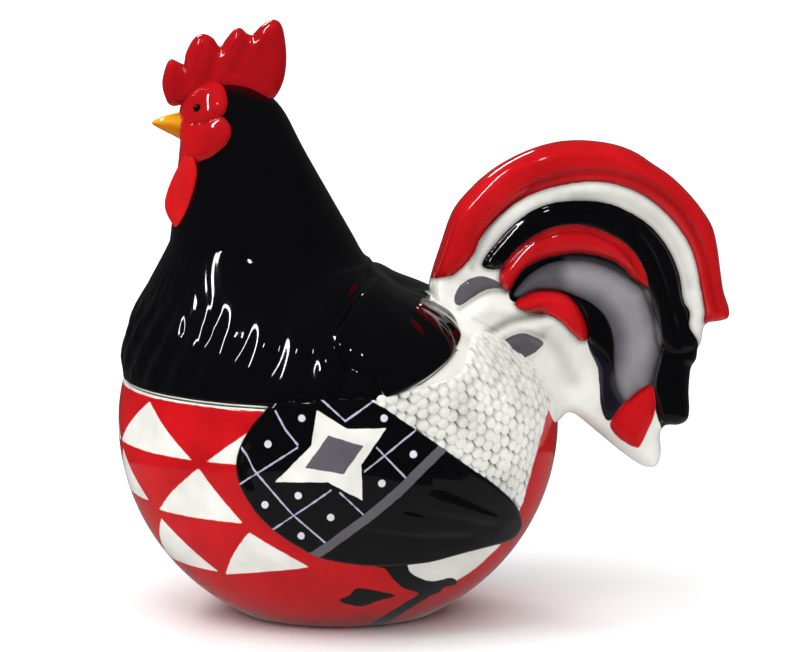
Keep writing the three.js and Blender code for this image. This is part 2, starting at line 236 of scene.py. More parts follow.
def dome(distance, reach):
    """0 at an outline, rising like a quarter of a circle to 1 at a reach inside it."""
    return np.sqrt(np.maximum(0, 1 - (1 - np.clip(distance / reach, 0, 1)) ** 2))


def swell(distance, reach):
    """0 at an outline, rising with a firm slope to 1 at a reach inside it: a parabola."""
    return 1 - (1 - np.clip(distance / reach, 0, 1)) ** 2


def ripple(points, size, seed):
    """Smooth unevenness from -1 to 1 with features of about a size: a sum of sines in seeded directions."""
    rng = np.random.default_rng(seed)
    total = np.zeros(points.shape[:-1])
    for _ in range(6):
        way = rng.normal(size=points.shape[-1])
        way *= 2 * np.pi / size / np.linalg.norm(way) * rng.uniform(0.6, 1.3)
        total += np.sin(points @ way + rng.uniform(0, 2 * np.pi))
    return total / 6


ring = curve([(10, 0), (0, 10), (-10, 0), (0, -10)])
print("the middle of a round outline is inside it by", inside(np.zeros((1, 2)), ring).round(1), "mm")

# %% [markdown]
# ## From grids to meshes
# Each piece is a grid of rings. The first and the last ring are each closed with a pole, or joined to each
# other as in a torus, so every mesh is one closed skin with no seam. The faces are wound so that the
# enclosed volume is positive, which points them outwards.

# %% Rings to closed meshes
def skin_object(name, points, quads, tris):
    """Points in mm and faces as a mesh object. A negative enclosed volume turns every face round."""
    halves = np.vstack([quads[:, [0, 1, 2]], quads[:, [0, 2, 3]], tris])
    a, b, c = (points[halves[:, k]] for k in range(3))
    if np.einsum("ij,ij->i", a, np.cross(b, c)).sum() < 0:
        quads, tris = quads[:, ::-1], tris[:, ::-1]
    mesh = bpy.data.meshes.new(name)
    mesh.vertices.add(len(points))
    mesh.vertices.foreach_set("co", (points * MM).ravel())
    loops = np.concatenate([quads.ravel(), tris.ravel()])
    mesh.loops.add(len(loops))
    mesh.loops.foreach_set("vertex_index", loops.astype(np.int32))
    starts = np.concatenate([np.arange(len(quads)) * 4, len(quads) * 4 + np.arange(len(tris)) * 3])
    mesh.polygons.add(len(starts))
    mesh.polygons.foreach_set("loop_start", starts.astype(np.int32))
    mesh.update(calc_edges=True)
    mesh.polygons.foreach_set("use_smooth", np.ones(len(starts), bool))
    made = bpy.data.objects.new(name, mesh)
    scene.collection.objects.link(made)
    print(f"{name}: {len(points)} points, {len(quads) * 2 + len(tris)} triangles")
    return made


def joined(rows, columns, bands):
    """The quads of the first bands between rings. The ring after the last one is the first."""
    row, column = np.meshgrid(np.arange(bands), np.arange(columns), indexing="ij")
    after, below = (column + 1) % columns, (row + 1) % rows
    corners = [row * columns + column, row * columns + after, below * columns + after, below * columns + column]
    return np.stack([c.ravel() for c in corners], 1)


def closed_skin(name, rings, fields=None):
    """rings is (rows, columns, 3) in mm, each row a loop; fields maps a name to a value for each point."""
    rows, columns, _ = rings.shape
    points = np.vstack([rings.reshape(-1, 3), rings[0].mean(0), rings[-1].mean(0)])
    first, following = np.arange(columns), (np.arange(columns) + 1) % columns
    top = np.stack([np.full(columns, rows * columns), following, first], 1)
    last = (rows - 1) * columns
    bottom = np.stack([np.full(columns, rows * columns + 1), last + first, last + following], 1)
    made = skin_object(name, points, joined(rows, columns, rows - 1), np.vstack([top, bottom]))
    for key, values in (fields or {}).items():
        flat = np.concatenate([values.ravel(), [values[0].mean(), values[-1].mean()]])
        attribute = made.data.attributes.new(key, "FLOAT", "POINT")
        attribute.data.foreach_set("value", flat.astype(np.float32))
    return made


def torus_skin(name, rings):
    """Rings joined round both ways, so that the skin needs no poles."""
    rows, columns, _ = rings.shape
    quads = joined(rows, columns, rows)[:, [0, 3, 2, 1]]
    return skin_object(name, rings.reshape(-1, 3), quads, np.zeros((0, 3), int))


def put(piece, body, slot, material, *nodes):
    """The piece wears its glaze, moves with its body and hides its CAD nodes."""
    piece.data.materials.append(material)
    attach(piece, body)
    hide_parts(*nodes)
    return piece


# %% [markdown]
# ## The glaze
# Underglaze colours are brushed on the bisque, and a clear glassy glaze is fired over them. What the eye
# gets is a saturated, slightly uneven colour under a hard wet-looking skin. One material does it all: a
# base colour, then each painted field laid over it in order, with a border that wanders by a few tenths
# of a millimetre like a brush's.

# %% Node helper, colours and the painted glaze
def linear(hexadecimal):
    """An sRGB hex colour as the linear values that shaders use."""
    srgb = np.array([int(hexadecimal[i : i + 2], 16) / 255 for i in (1, 3, 5)])
    return (*np.where(srgb <= 0.04045, srgb / 12.92, ((srgb + 0.055) / 1.055) ** 2.4), 1.0)


RED, WHITE, BLACK, GREY = "#c01218", "#ebebe4", "#050507", "#5f5d63"
LAVENDER, YELLOW, AMBER_SHADE, INDIGO = "#b9b7cf", "#e8a01c", "#b96c0c", "#15131f"


def node(tree, kind, settings=None, links=None):
    """Adds a node. settings sets its properties, or inputs by name or number; links joins outputs to inputs."""
    added = tree.nodes.new(kind)
    for key, value in (settings or {}).items():
        if isinstance(key, str) and hasattr(added, key):
            setattr(added, key, value)
        else:
            added.inputs[key].default_value = value
    for key, socket in (links or {}).items():
        tree.links.new(socket, added.inputs[key])
    return added


def new_material(name):
    """A material with an empty node tree, and the place on the piece that its patterns read."""
    material = bpy.data.materials.new(name)
    material.use_nodes = True
    tree = material.node_tree
    tree.nodes.clear()
    return material, tree, node(tree, "ShaderNodeTexCoord").outputs["Object"]


def surface(tree, settings, links):
    """The shader, joined to the material's output."""
    shader = node(tree, "ShaderNodeBsdfPrincipled", settings, links)
    node(tree, "ShaderNodeOutputMaterial", None, {"Surface": shader.outputs[0]})


def painted_glaze(name, base, layers, roughness=0.07, edge=0.25, pool_and_shade=None):
    """Fired glaze over a base colour. layers is (field, colour) and, for a thinned wash, its soft reach;
    pool_and_shade is (field, colour) that darkens the colour in hollows: glaze gathered there and painted shade. IOR
    1.5 is that of a lead-free glaze."""
    material, tree, place = new_material(name)
    wander = node(tree, "ShaderNodeTexNoise", {"Scale": 260.0, "Detail": 2.0}, {"Vector": place})
    wobble = node(tree, "ShaderNodeMath", {"operation": "MULTIPLY_ADD", 1: 0.7, 2: -0.35}, {0: wander.outputs[0]})
    brush = node(tree, "ShaderNodeTexNoise", {"Scale": 45.0, "Detail": 4.0}, {"Vector": place})
    colour = node(tree, "ShaderNodeRGB")
    colour.outputs[0].default_value = linear(base)
    current = colour.outputs[0]
    for field, paint, *soft in layers:
        reach = soft[0] if soft else edge
        value = node(tree, "ShaderNodeAttribute", {"attribute_name": field}).outputs["Fac"]
        moved = node(tree, "ShaderNodeMath", {"operation": "ADD"}, {0: value, 1: wobble.outputs[0]})
        cover = node(
            tree, "ShaderNodeMapRange", {"interpolation_type": "SMOOTHSTEP", "From Min": -reach, "From Max": reach},
            {"Value": moved.outputs[0]},
        )
        mix = node(tree, "ShaderNodeMix", {"data_type": "RGBA", 7: linear(paint)}, {0: cover.outputs[0], 6: current})
        current = mix.outputs[2]
    # Painted shade: this field darkens the colour where glaze gathers in grooves and where shade falls in them.
    if pool_and_shade:
        depth = node(tree, "ShaderNodeAttribute", {"attribute_name": pool_and_shade[0]}).outputs["Fac"]
        tint = node(
            tree, "ShaderNodeMix", {"data_type": "RGBA", "blend_type": "MULTIPLY", 7: linear(pool_and_shade[1])},
            {0: depth, 6: current},
        )
        current = tint.outputs[2]
    streak = node(
        tree, "ShaderNodeMapRange", {"From Min": 0.3, "From Max": 0.7, "To Min": 0.78, "To Max": 1.05},
        {"Value": brush.outputs[0]},
    )
    uneven = node(tree, "ShaderNodeHueSaturation", None, {"Value": streak.outputs[0], "Color": current})
    skin = node(tree, "ShaderNodeTexNoise", {"Scale": 90.0, "Detail": 1.0}, {"Vector": place})
    orange_peel = node(tree, "ShaderNodeBump", {"Strength": 0.25, "Distance": 0.00012}, {"Height": skin.outputs[0]})
    gloss = node(
        tree, "ShaderNodeMapRange", {"To Min": roughness * 0.6, "To Max": roughness * 1.5}, {"Value": brush.outputs[0]}
    )
    surface(tree, {"IOR": 1.5}, {
        "Base Color": uneven.outputs[0], "Roughness": gloss.outputs[0], "Normal": orange_peel.outputs[0]})
    return material


print("the red as linear light:", np.round(linear(RED), 3))

# %% [markdown]
# ## The jar's wall
# The belly is one casting: foot, wall, a rounded rim and the inside. A Screw modifier would carry one
# profile round the upright axis. Here the seam's height changes with the direction, so each column of
# the grid has its own profile. The rim's edges are quarter rounds, because slip and glaze can't hold a
# sharp edge.

# %% The jar's grid
RIM_ROUND = 2.0
RIM_ANGLE = RIM_ROUND / 95.0  # the same as an angle up the oval


def turns(columns):
    return np.linspace(0, 2 * np.pi, columns, endpoint=False)


def rim_edge(turn, inner):
    """A quarter round at the rim: outwards at the wall, level on top. inner mirrors it for the inside."""
    phi = np.linspace(0, np.pi / 2, 6)[:, None]
    drop = RIM_ANGLE * (1 - np.sin(phi))
    inset = RIM_ROUND * (1 - np.cos(phi))
    if inner:
        return belly(turn, seam(turn) - drop, -WALL + inset)[::-1]
    return belly(turn, seam(turn) - drop, -inset)


def jar_rings(columns=480):
    """The flat base, the wall, the rim's two rounds, the inner wall and the floor; and how many rings are outside."""
    turn = turns(columns)[None, :]
    foot = -np.arcsin(WIDEST_Z / DEPTH)
    inside_foot = -np.arcsin((WIDEST_Z - FLOOR) / (DEPTH - WALL))
    under_rim = seam(turn) - RIM_ANGLE
    wall = belly(turn, blend(foot, under_rim, np.linspace(0, 1, 128)[:, None]))
    wall[..., 2] = np.maximum(wall[..., 2], 0)
    base = np.concatenate([wall[:1] * np.array([f, f, 0]) for f in (0.05, 0.5, 0.9, 0.96)])
    inner = belly(turn, blend(under_rim, inside_foot, np.linspace(0, 1, 34)[:, None]), -WALL)
    floor = np.concatenate([inner[-1:] * np.array([f, f, 1]) for f in (0.97, 0.8, 0.4, 0.05)])
    outside = [base, wall, rim_edge(turn, False)[1:]]
    return np.concatenate([*outside, rim_edge(turn, True)[:-1], inner, floor]), sum(len(part) for part in outside)


jar, jar_outer_rows = jar_rings()
print("jar box, mm:", jar.reshape(-1, 3).min(0).round(1), jar.reshape(-1, 3).max(0).round(1))

# %% [markdown]
# ## The paint on the jar
# The breast carries rows of white triangles on red, like patchwork. Round the breast they are regular in
# direction and height, so they are laid out there: an apex, two corners and a base that follows the
# rim's level. The legs, toes and the white of the rump are shapes in the side view.

# %% Patchwork, rump, legs and rim
# Each triangle: two base corners and the apex, as (degrees from the tail, height).
TRIANGLES = [
    [(129.2, 84.6), (166.8, 84.4), (147.4, 107.6)], [(89.5, 84.8), (124.5, 84.8), (106, 108)],
    [(167.8, 84), (192.2, 84), (180, 107)], [(115.5, 57), (146.9, 57), (127.2, 81.3)],
    [(151.6, 60), (179.4, 60), (166, 81)], [(131.2, 29.5), (165, 29.5), (147.6, 52.6)],
    [(98, 36.5), (128.5, 28.8), (114.2, 52.8)], [(168, 29), (192, 29), (180, 52)],
]
MM_PER_DEGREE = 1.45  # along the arc, at the height of the triangles
RIM_WHITE = 1.1  # the bare rim shows this far down the outside
OUTSIDE, WITHIN = -9.0, 9.0  # distances that keep a paint off or put it everywhere
RUMP_WHITE = [
    (2, 106), (2, 190), (140, 190), (140, 108), (103.5, 100.5), (99.5, 97.5), (97, 92), (95.8, 86.5), (93, 76),
    (88.8, 60.9), (84.5, 47), (81, 40), (60, 40), (20, 80),
]
UNDER_WING_LEAF = [
    (28, 21.5), (52, 26), (75, 32), (70, 25.5), (62, 18.5), (55, 14.2), (49.3, 12.4), (42, 12.8), (36, 16.2),
]
SHANK = [
    (15, 22), (21.9, 19.5), (25, 15.5), (30, 11), (37.5, 8.4), (42, 7.2), (44.5, 9), (49, 11), (55.2, 12.6),
    (53, 15.5), (44, 13.9), (37, 15.8), (33, 19), (31, 24), (22, 26),
]
TOE = [(46.5, 10.5), (41, 8), (32.5, 2.6), (22.5, -3.5), (12, -10)]
SPUR = [(0.3, 5.3), (5, 7), (8.3, 10.4), (14, 10.2), (26.8, 7.3), (19, 4.9), (11.6, 2.3), (4, 3.2)]


def patchwork(points):
    """The white triangles: distance inside each, with direction turned into millimetres of arc."""
    direction = np.abs(np.degrees(turn_at(points)))
    spot = np.stack([direction * MM_PER_DEGREE, points[..., 2]], -1)
    return union(*[inside(spot, np.array(corners) * np.array([MM_PER_DEGREE, 1])) for corners in TRIANGLES])


def jar_paint(points, outer_rows):
    """The distances for the white and the black; the inside is white all over."""
    view = side_view(points)
    outside = np.arange(len(points))[:, None] + 0 * view[..., 0] < outer_rows
    turn = turn_at(points)
    under_rim = belly(turn, seam(turn))[..., 2] - points[..., 2]
    rim = np.where(points[..., 1] < 60, RIM_WHITE - under_rim, OUTSIDE)
    white = [patchwork(points), inside(view, np.array(RUMP_WHITE, float)), inside(view, curve(UNDER_WING_LEAF)), rim]
    legs = union(inside(view, curve(SHANK)), stroke(view, TOE, 3.6), inside(view, curve(SPUR, 4)))
    return {
        "white": union(*white, np.where(outside, OUTSIDE, WITHIN)),
        "black": np.where(outside, legs, OUTSIDE),
    }


jar_glaze = painted_glaze("painted_earthenware_red", RED, [("white", WHITE), ("black", BLACK)])
put(closed_skin("jar_casting", jar, jar_paint(jar, jar_outer_rows)), "jar", "glaze_red", jar_glaze, "jar_bowl")

# %% [markdown]
# ## Raised pads on the belly
# A wing and a field of scales are both raised skins on the belly. They could be displaced from the jar's
# own mesh, but then all of it would have to be as fine as the smallest scale. Each is laid out in the
# side view as rings round its middle, carried onto the oval, and moved out along the oval's normal by its
# relief. The skin goes on under the surface, so that it is closed and its border sinks into the clay.

# %% Pads
def ring_layout(outline, centre, radii):
    """Rings from a centre to a closed outline, one column for each of the outline's points."""
    return centre + radii[:, None, None] * (outline[None] - centre)


def belly_normal(points):
    """The oval's outward normal: the gradient of its formula."""
    way = (points - np.array([0, 0, WIDEST_Z])) / half_axes(points) ** 2
    return way / np.linalg.norm(way, axis=-1, keepdims=True)


def resampled(outline, columns):
    """The closed outline again with evenly spaced points."""
    ring = np.vstack([outline, outline[:1]])
    length = np.concatenate([[0], np.cumsum(np.hypot(*np.diff(ring, axis=0).T))])
    at = np.linspace(0, length[-1], columns, endpoint=False)
    return np.stack([np.interp(at, length, ring[:, k]) for k in (0, 1)], 1)


def pad(outline, centre, relief, columns, rows, sunk):
    """Rings up to the outline with the relief, then back to the centre under the surface, for the left side."""
    border = resampled(outline, columns)
    radii = 1 - (1 - np.linspace(0.01, 1, rows)) ** 1.35
    view = ring_layout(border, np.array(centre, float), radii)
    spot = on_belly(view)
    normal = belly_normal(spot)
    raised = spot + normal * relief(view, spot)[..., None]
    thinned = slice(None, None, -max(1, rows // 12))
    back = (spot - normal * sunk)[thinned]
    return np.concatenate([raised, back]), np.concatenate([view, view[thinned]])


def mirrored(rings):
    """The same rings on the other side of the middle plane."""
    return rings * np.array([-1, 1, 1])


print("outwards on the left flank:", belly_normal(np.array([HALF_WIDTH, 0, WIDEST_Z])).round(2))

# %% [markdown]
# ## The wings
# Each wing is a smooth leaf that stands out a few millimetres, crowned in its middle, with a crisp edge
# below and long soft grooves behind the grey bar. Its black glaze carries a quilt star, dots and thin
# crossed lines. The lines are thinner than the mesh is fine, so the wing gets a dense grid.

# %% The wing's shape and paint
WING = [
    (-32.1, 95.3), (-40.5, 85.6), (-46, 75.4), (-47.3, 66.5), (-44.6, 56.5), (-36.7, 44.6), (-26.5, 35.3),
    (-14, 27.6), (-7.4, 24.8), (6, 22.3), (20.9, 21.4), (40, 22.8), (59.1, 27.7), (78.1, 32.8), (83.7, 37.6),
    (84.8, 43.5), (80.9, 51.6), (72.1, 60), (59.1, 68.9), (45.6, 78.4), (30.7, 88.6), (19.5, 96), (9, 99.2),
    (-4, 98.6), (-18, 98.2), (-26, 97.8),
]
STAR = [
    (-9.6, 93.4), (4.2, 84.9), (21.8, 85.2), (10.4, 69.2), (10.9, 53.2), (-4.6, 61.4), (-28.2, 61.3), (-11.9, 77.6),
]
STAR_HEART = [(-4.4, 82), (11.4, 77.4), (2.5, 65), (-14.7, 67.8)]
BAR = [
    (50, 78.6), (42.5, 71.6), (34.4, 64.3), (26, 56.3), (17.2, 48.8), (9.5, 42.6), (1.9, 36.8), (-4.6, 31.6),
    (-14, 25.3),
]
DOTS = [
    (-16.3, 89.7), (20.9, 89.7), (-31.6, 78.1), (33.9, 73.5), (19.5, 60.9), (-17.7, 55.3), (-33, 50.7), (-3.3, 45.6),
    (-16.7, 36.7),
]
CROSSED = [
    [(-7.4, 98.1), (3.3, 88.4), (15.8, 97.2)], [(-28.4, 93), (-23.6, 84.5), (-18.1, 78.1)],
    [(-18.1, 76.7), (-45.1, 59.5)], [(-43.7, 76.3), (-38, 66.5), (-20.5, 46.5), (-6, 33.9)],
    [(-3.3, 57.7), (-29.8, 39.1)], [(0.9, 56.7), (11.2, 47)], [(35.3, 84.2), (11.6, 66)],
    [(16.3, 77.7), (31.6, 61.8)],
]
GROOVES = [
    [(24, 51), (42, 46.5), (60, 42), (76, 39)], [(6, 39), (24, 36.5), (44, 34.8), (66, 35.8)],
    [(40, 60), (56, 54), (70, 48), (80, 44)], [(-38, 82), (-42, 68), (-38, 55)],
]
wing_outline = curve(WING, 8)


def wing_relief(view, spot):
    """A quarter round at the edge, a gentle crown in the middle, and soft grooves between long feathers."""
    deep = inside(view, wing_outline)
    height = 3.2 * dome(deep, 2.6) + 2.2 * smooth(deep / 28)
    for groove in GROOVES:
        from_ends = from_spots(view, (groove[0], groove[-1]))
        height -= 1.1 * near(view, groove, 2.6, 8) * smooth(deep / 4) * smooth(from_ends / 9)
    return height + 0.15 * ripple(spot, 22, 5) - 0.4


def wing_paint(view):
    """The distances for the star, the dots, the bar and the lines, which stop 1 mm short of the star."""
    lines = union(*[stroke(view, line, 0.75) for line in CROSSED])
    star = inside(view, np.array(STAR, float))
    return {
        "line": np.where(star > -1.0, -1.0, lines),
        "dot": 1.65 - from_spots(view, DOTS),
        "star": star,
        "heart": inside(view, np.array(STAR_HEART, float)),
        "bar": stroke(view, BAR, 4.3),
    }


wing, wing_view = pad(wing_outline, (15, 62), wing_relief, 560, 130, 0.9)
wing_layers = [("line", LAVENDER), ("dot", "#dcdbe6"), ("star", WHITE), ("heart", GREY), ("bar", GREY)]
wing_glaze = painted_glaze("black_glaze_wing", BLACK, wing_layers, edge=0.16)
wing_fields = wing_paint(wing_view)
put(closed_skin("wing_left", wing, wing_fields), "jar", "glaze_black", wing_glaze, "left_wing")
put(closed_skin("wing_right", mirrored(wing), wing_fields), "jar", "glaze_black", wing_glaze, "right_wing")

# %% [markdown]
# ## The scales on the flanks
# The rump between the lid, the wing and the tail is modelled as overlapping scales, like roof tiles with
# round ends. Hundreds of loose tiles would be heavy and would gape on the curve, so they are one skin:
# for a point, the scale that lies uppermost there is found among its neighbours, and the surface is that
# scale's tilt, thin where it starts and thick at its free end.

# %% Scales
LID_SIDE = [
    (12, 100), (26, 102.4), (38, 105), (48, 107.5), (55.5, 111), (58.6, 117), (60.5, 125), (64, 130), (72, 129.5),
    (83, 123), (92, 115), (98, 106),
]
FLANK = LID_SIDE + [
    (99, 97.6), (96.8, 90), (95.4, 84), (92.4, 73), (88.6, 60), (85.2, 48), (80, 50), (66, 60), (50, 71.5), (34, 82),
    (20, 92),
]
flank_outline = curve(FLANK)
SCALE_WIDTH, SCALE_PITCH, SCALE_HEIGHT = 5.8, 3.9, 2.3


def scales(across, down):
    """Height of a roof of round-ended tiles over a plane. Each row is shifted by half a width, each scale a
    little off its place, and its height grows to its free end, where it drops to the next row."""
    best = np.zeros_like(across)
    row_here = np.floor(down / SCALE_PITCH)
    for back in (2, 1, 0, -1):
        row = row_here - back
        shift = 0.5 * SCALE_WIDTH * (row % 2) + 0.5 * np.sin(row * 1.7)
        column = np.round((across - shift) / SCALE_WIDTH)
        chance = np.sin(row * 12.9898 + column * 78.233)
        other = np.sin(row * 39.425 + column * 17.713)
        u = across - shift - column * SCALE_WIDTH - 0.35 * chance
        v = down - row * SCALE_PITCH - 0.6 * other
        radius = SCALE_WIDTH * (0.585 + 0.035 * chance)
        reach = np.where(v > 0, radius - np.hypot(u, v * 1.08), radius - np.abs(u))
        body = smooth(reach / 0.9) * (0.55 + 0.45 * np.sqrt(np.clip(reach / radius, 0, 1)))
        tilt = 0.15 + 0.85 * smooth((v + SCALE_PITCH * 1.35) / (SCALE_PITCH * 1.6))
        best = np.where(v > -SCALE_PITCH * 1.35, np.maximum(best, body * tilt), best)
    return best


def scale_plane(spot):
    """Millimetres across and down the flank: arc and fall, turned so that down leans towards the tail."""
    arc = np.degrees(turn_at(spot)) * 1.62
    fall = 150 - spot[..., 2]
    return arc * 0.9 + 0.42 * fall, fall * 0.9 - 0.42 * arc


def flank_edge(view):
    """0 at the border, 1 from 1.8 mm inside it."""
    return smooth(inside(view, flank_outline) / 1.8)


def flank_fade(view):
    """0 at the field's border; it rises slowly on the lid's side, where the scales are worn, and fast elsewhere."""
    worn = smooth((distance_to(view, curve(LID_SIDE, closed=False)) + 2.0) / 5.5)
    return flank_edge(view) * worn


def flank_relief(view, spot):
    """Scales that fade to nothing at the field's border, where the skin sinks under the jar's."""
    worn = 0.8 + 0.2 * ripple(spot, 30, 11)
    roof = SCALE_HEIGHT * worn * scales(*scale_plane(spot)) + 0.2
    return flank_fade(view) * roof - 0.4 + 0.3 * flank_edge(view)


flank, flank_view = pad(flank_outline, (66, 90), flank_relief, 460, 170, 1.2)
# The grooves between the scales are painted darker: glaze pooled there and painted shade.
pooled_glaze_and_shade = np.clip(1.2 - 1.6 * scales(*scale_plane(flank)), 0, 1)
flank_fields = {"pooled_glaze_and_shade": 0.9 * pooled_glaze_and_shade * flank_fade(flank_view)}
flank_glaze = painted_glaze("white_glaze_scales", WHITE, [], pool_and_shade=("pooled_glaze_and_shade", "#7d8076"))
for side, rings in (("left", flank), ("right", mirrored(flank))):
    put(closed_skin(f"scales_{side}", rings, flank_fields), "jar", "glaze_white", flank_glaze, "jar_bowl")

# %% [markdown]
# ## The tail
# The tail is a hooked plate of nested feathers, the same on both faces. It could be sculpted by hand, but
# the paint's borders and the clay's would then drift apart. It is laid out in the middle plane as rings
# round its middle, and each point is moved out to the plate's half thickness. Every feather is an
# outline in the side view whose distance both lifts the clay and sets the paint. At the root the plate
# swells into the rump by a smooth maximum of the two surfaces.

# %% The tail's outlines
TAIL = [
    (42.2, 152.5), (43.4, 160), (47.5, 173), (52.8, 188), (60.5, 198), (70.8, 207.3), (84, 215), (98.5, 220),
    (112, 221.3), (126.3, 219.7), (137, 216), (145.5, 210.5), (154, 204.7), (161.5, 197.6), (168, 189.8),
    (173.3, 181.4), (175.8, 172), (177.4, 161), (179, 151), (181.6, 143), (181.2, 138.6), (177, 137), (171.6, 136),
    (169.6, 132.6), (169, 127.5), (167.4, 124.2), (166.6, 119), (164.2, 114.6), (163.4, 104), (163.8, 95),
    (162.6, 90.2), (158.5, 88), (152.5, 87.6), (150.2, 83), (150.8, 76), (149.6, 69.6), (146.2, 67.6), (141, 69),
    (132, 75.2), (121, 84.4), (111.5, 92.4), (107, 94.2), (102.8, 91.5), (98, 93.5), (91.5, 100.5), (80.5, 111.5),
    (67.5, 122.5), (54, 133), (45.5, 141),
]
RED_SICKLE = [
    (40, 158), (48.5, 187), (66, 209), (97, 226), (128, 226), (149, 216), (168, 201), (181, 182), (185, 160),
    (190, 141), (186, 132.5), (176, 131.5), (170.3, 134), (170.3, 140), (168.6, 150), (166.2, 162), (161.5, 173.5),
    (150.7, 186.6), (137.2, 195.6), (120, 199.6), (99.5, 197), (83.7, 190.4), (72.5, 181), (66.5, 173.5), (62.5, 165),
    (56.5, 158.5), (50.8, 155.4),
]
BLACK_SICKLE = [
    (66.8, 161.3), (79.5, 177.9), (94.4, 188.2), (111.1, 190.8), (126.5, 189.3), (142.3, 181.4), (153, 169.7),
    (158.5, 157), (160.6, 145), (163.6, 138.8), (163.4, 132.5), (167.4, 125), (166, 120.6), (160, 118.4),
    (153.6, 118.4), (148.5, 124), (146, 138), (141.5, 150), (138.2, 158.5), (133.2, 166.4), (125.3, 172),
    (113.5, 176.2), (98.6, 174.4), (86.7, 168.6), (77.6, 159.6),
]
UNDERPAINT = [
    (79.5, 147.5), (84, 158), (92, 165), (106, 168.5), (122, 168), (136, 160), (144, 150), (152, 136), (155, 121),
    (153, 112), (147, 104), (141, 98), (133.9, 97), (127, 90.5), (124.5, 95), (122.6, 112), (118, 124), (112.5, 134),
    (106, 142), (96, 146.5), (87, 144.5), (82, 143.5),
]
RED_MIDDLE = [
    (74.9, 153.2), (76.5, 160.6), (85, 170), (98.6, 178), (113.5, 179.6), (128.3, 174.4), (137.2, 167.4),
    (142.6, 158.6), (143.9, 151.2), (139, 152.8), (132, 160.2), (124.2, 164.4), (113.5, 166.6), (105.1, 166.2),
    (96, 164), (88.6, 160.6), (83.2, 155), (79.2, 148.6),
]
GREY_FEATHER = [
    (81.6, 147), (86, 153.4), (92, 158.6), (100, 162.2), (112.5, 163), (124, 160.4), (133, 155.8), (139.5, 152),
    (144.6, 148.6), (146.2, 140), (149.9, 130.7), (150.2, 123.2), (147.6, 113.9), (145.1, 105.5), (139.5, 101.5),
    (133.9, 97.6), (129.7, 103.7), (128.3, 113.9), (127.9, 126), (124.6, 136.2), (118.1, 142.8), (108.8, 147.4),
    (102.3, 149.2), (92.1, 149.4), (85.6, 146),
]
RED_SMALL = [
    (82, 142.8), (86.5, 147.2), (93.9, 149.2), (103.2, 148.5), (109.7, 144), (114.4, 135.6), (116, 126.9),
    (112.5, 125.6), (107.9, 129.7), (103.2, 134.4), (97.7, 137.4), (90.2, 138.4), (85, 140),
]
BLACK_SMALL = [
    (104.2, 148.2), (112.5, 145.7), (120, 141.9), (124.8, 136.2), (128, 126), (128.3, 112), (124.6, 116.7),
    (120, 121.4), (115.8, 126.4), (114.2, 136), (109.6, 144),
]
INDIGO_LEAF = [
    (115.8, 126), (120, 121.4), (124.6, 116.4), (128.4, 111.6), (129.9, 103.5), (134.2, 97.4), (130.5, 93),
    (126.5, 88.6), (123.7, 90.4), (121.8, 98.1), (120.9, 112.1), (117.4, 120.4),
]
RED_DIAMOND = [(145.1, 105.3), (147.5, 93.5), (141.4, 78.4), (138.1, 76.2), (131.1, 80.2), (126.5, 87), (133.9, 97.6)]
BLACK_BLOCK = [
    (148.4, 118.6), (151.1, 123.2), (160, 121.5), (169, 121), (168, 112.5), (168, 91.6), (165.5, 84), (153, 82.5),
    (149.7, 87), (147.6, 93.5), (145.3, 105.1),
]
CRESCENT = [
    (53.9, 144.6), (56.2, 150.6), (62.3, 155), (68.8, 155.4), (76.3, 152.1), (78.5, 149.4), (71.6, 150),
    (65.1, 147.4), (56.7, 142.1),
]
ROOT_LEAF = [
    (74.2, 123.4), (79.1, 127.1), (86.5, 129.2), (93.9, 126.2), (95.1, 123.7), (90.2, 119.4), (83.7, 117.1),
    (78.1, 119.9),
]
FOLDS = [
    ([(58, 138), (68, 142), (78, 141.5), (87, 139.8)], 2.4, 4.2),
    ([(84, 130), (92, 133.5), (101, 135.5), (108, 131)], 2.2, 4),
    ([(70, 130), (79, 134.6), (88.5, 137.8), (94, 139.5)], -2.2, 2.3),
    ([(73, 124.5), (79, 128.6), (86, 130.6), (94.5, 127.6)], -1.2, 1.7),
    ([(56.7, 141.2), (65, 146.4), (71.6, 149), (79, 148.6)], -1.2, 1.6),
    ([(96, 128), (103, 120), (109, 108)], -1.4, 4),
]
WHITE_BAND = [
    (60, 158), (70, 174), (82, 185.5), (97, 193), (112, 195.8), (128, 193.5), (144, 186), (156, 174), (163, 158),
    (166.5, 142), (167, 130),
]
# A painted shadow on the white band, where it lies under the outer red rim.
BAND_SHADE = [(110, 192.5), (124, 193), (138, 189), (150, 180), (158, 168), (163, 152)]
GREY_LIGHT = [(112, 157), (125, 153), (135, 143), (140, 130), (139.5, 116), (136, 105)]
RIDGES = [
    [(62, 160), (74, 183), (96, 200.5), (120, 204.5), (141, 200), (158, 188), (168.5, 171), (173, 152), (176, 140)],
    [(74, 163), (88, 177), (103, 184.5), (120, 185.5), (134, 180), (144, 169), (151, 152), (156, 134), (158, 125)],
]

print("points drawn for the tail's outline:", len(TAIL))

# %% The tail's relief
TAIL_HALF = 8.2  # half the plate's thickness between the feathers
# Each feather: its outline, how high it stands, and how far from its edge it reaches that height.
FEATHERS = {
    "sickle": (RED_SICKLE, 4.2, 8.0), "black": (BLACK_SICKLE, 3.8, 6.0), "middle": (RED_MIDDLE, 5.4, 5.5),
    "grey": (GREY_FEATHER, 3.0, 9.0), "small": (RED_SMALL, 5.0, 5.0), "inner": (BLACK_SMALL, 2.0, 4.0),
    "indigo": (INDIGO_LEAF, 2.2, 4.0), "diamond": (RED_DIAMOND, 2.2, 4.0), "block": (BLACK_BLOCK, 3.0, 4.0),
}
ROOT_PADS = {"crescent": (CRESCENT, 1.6, 3.0), "leaf": (ROOT_LEAF, 1.6, 3.0)}
UNDER_SKIN = 2.5  # how far under the jar's skin the tail's root ends


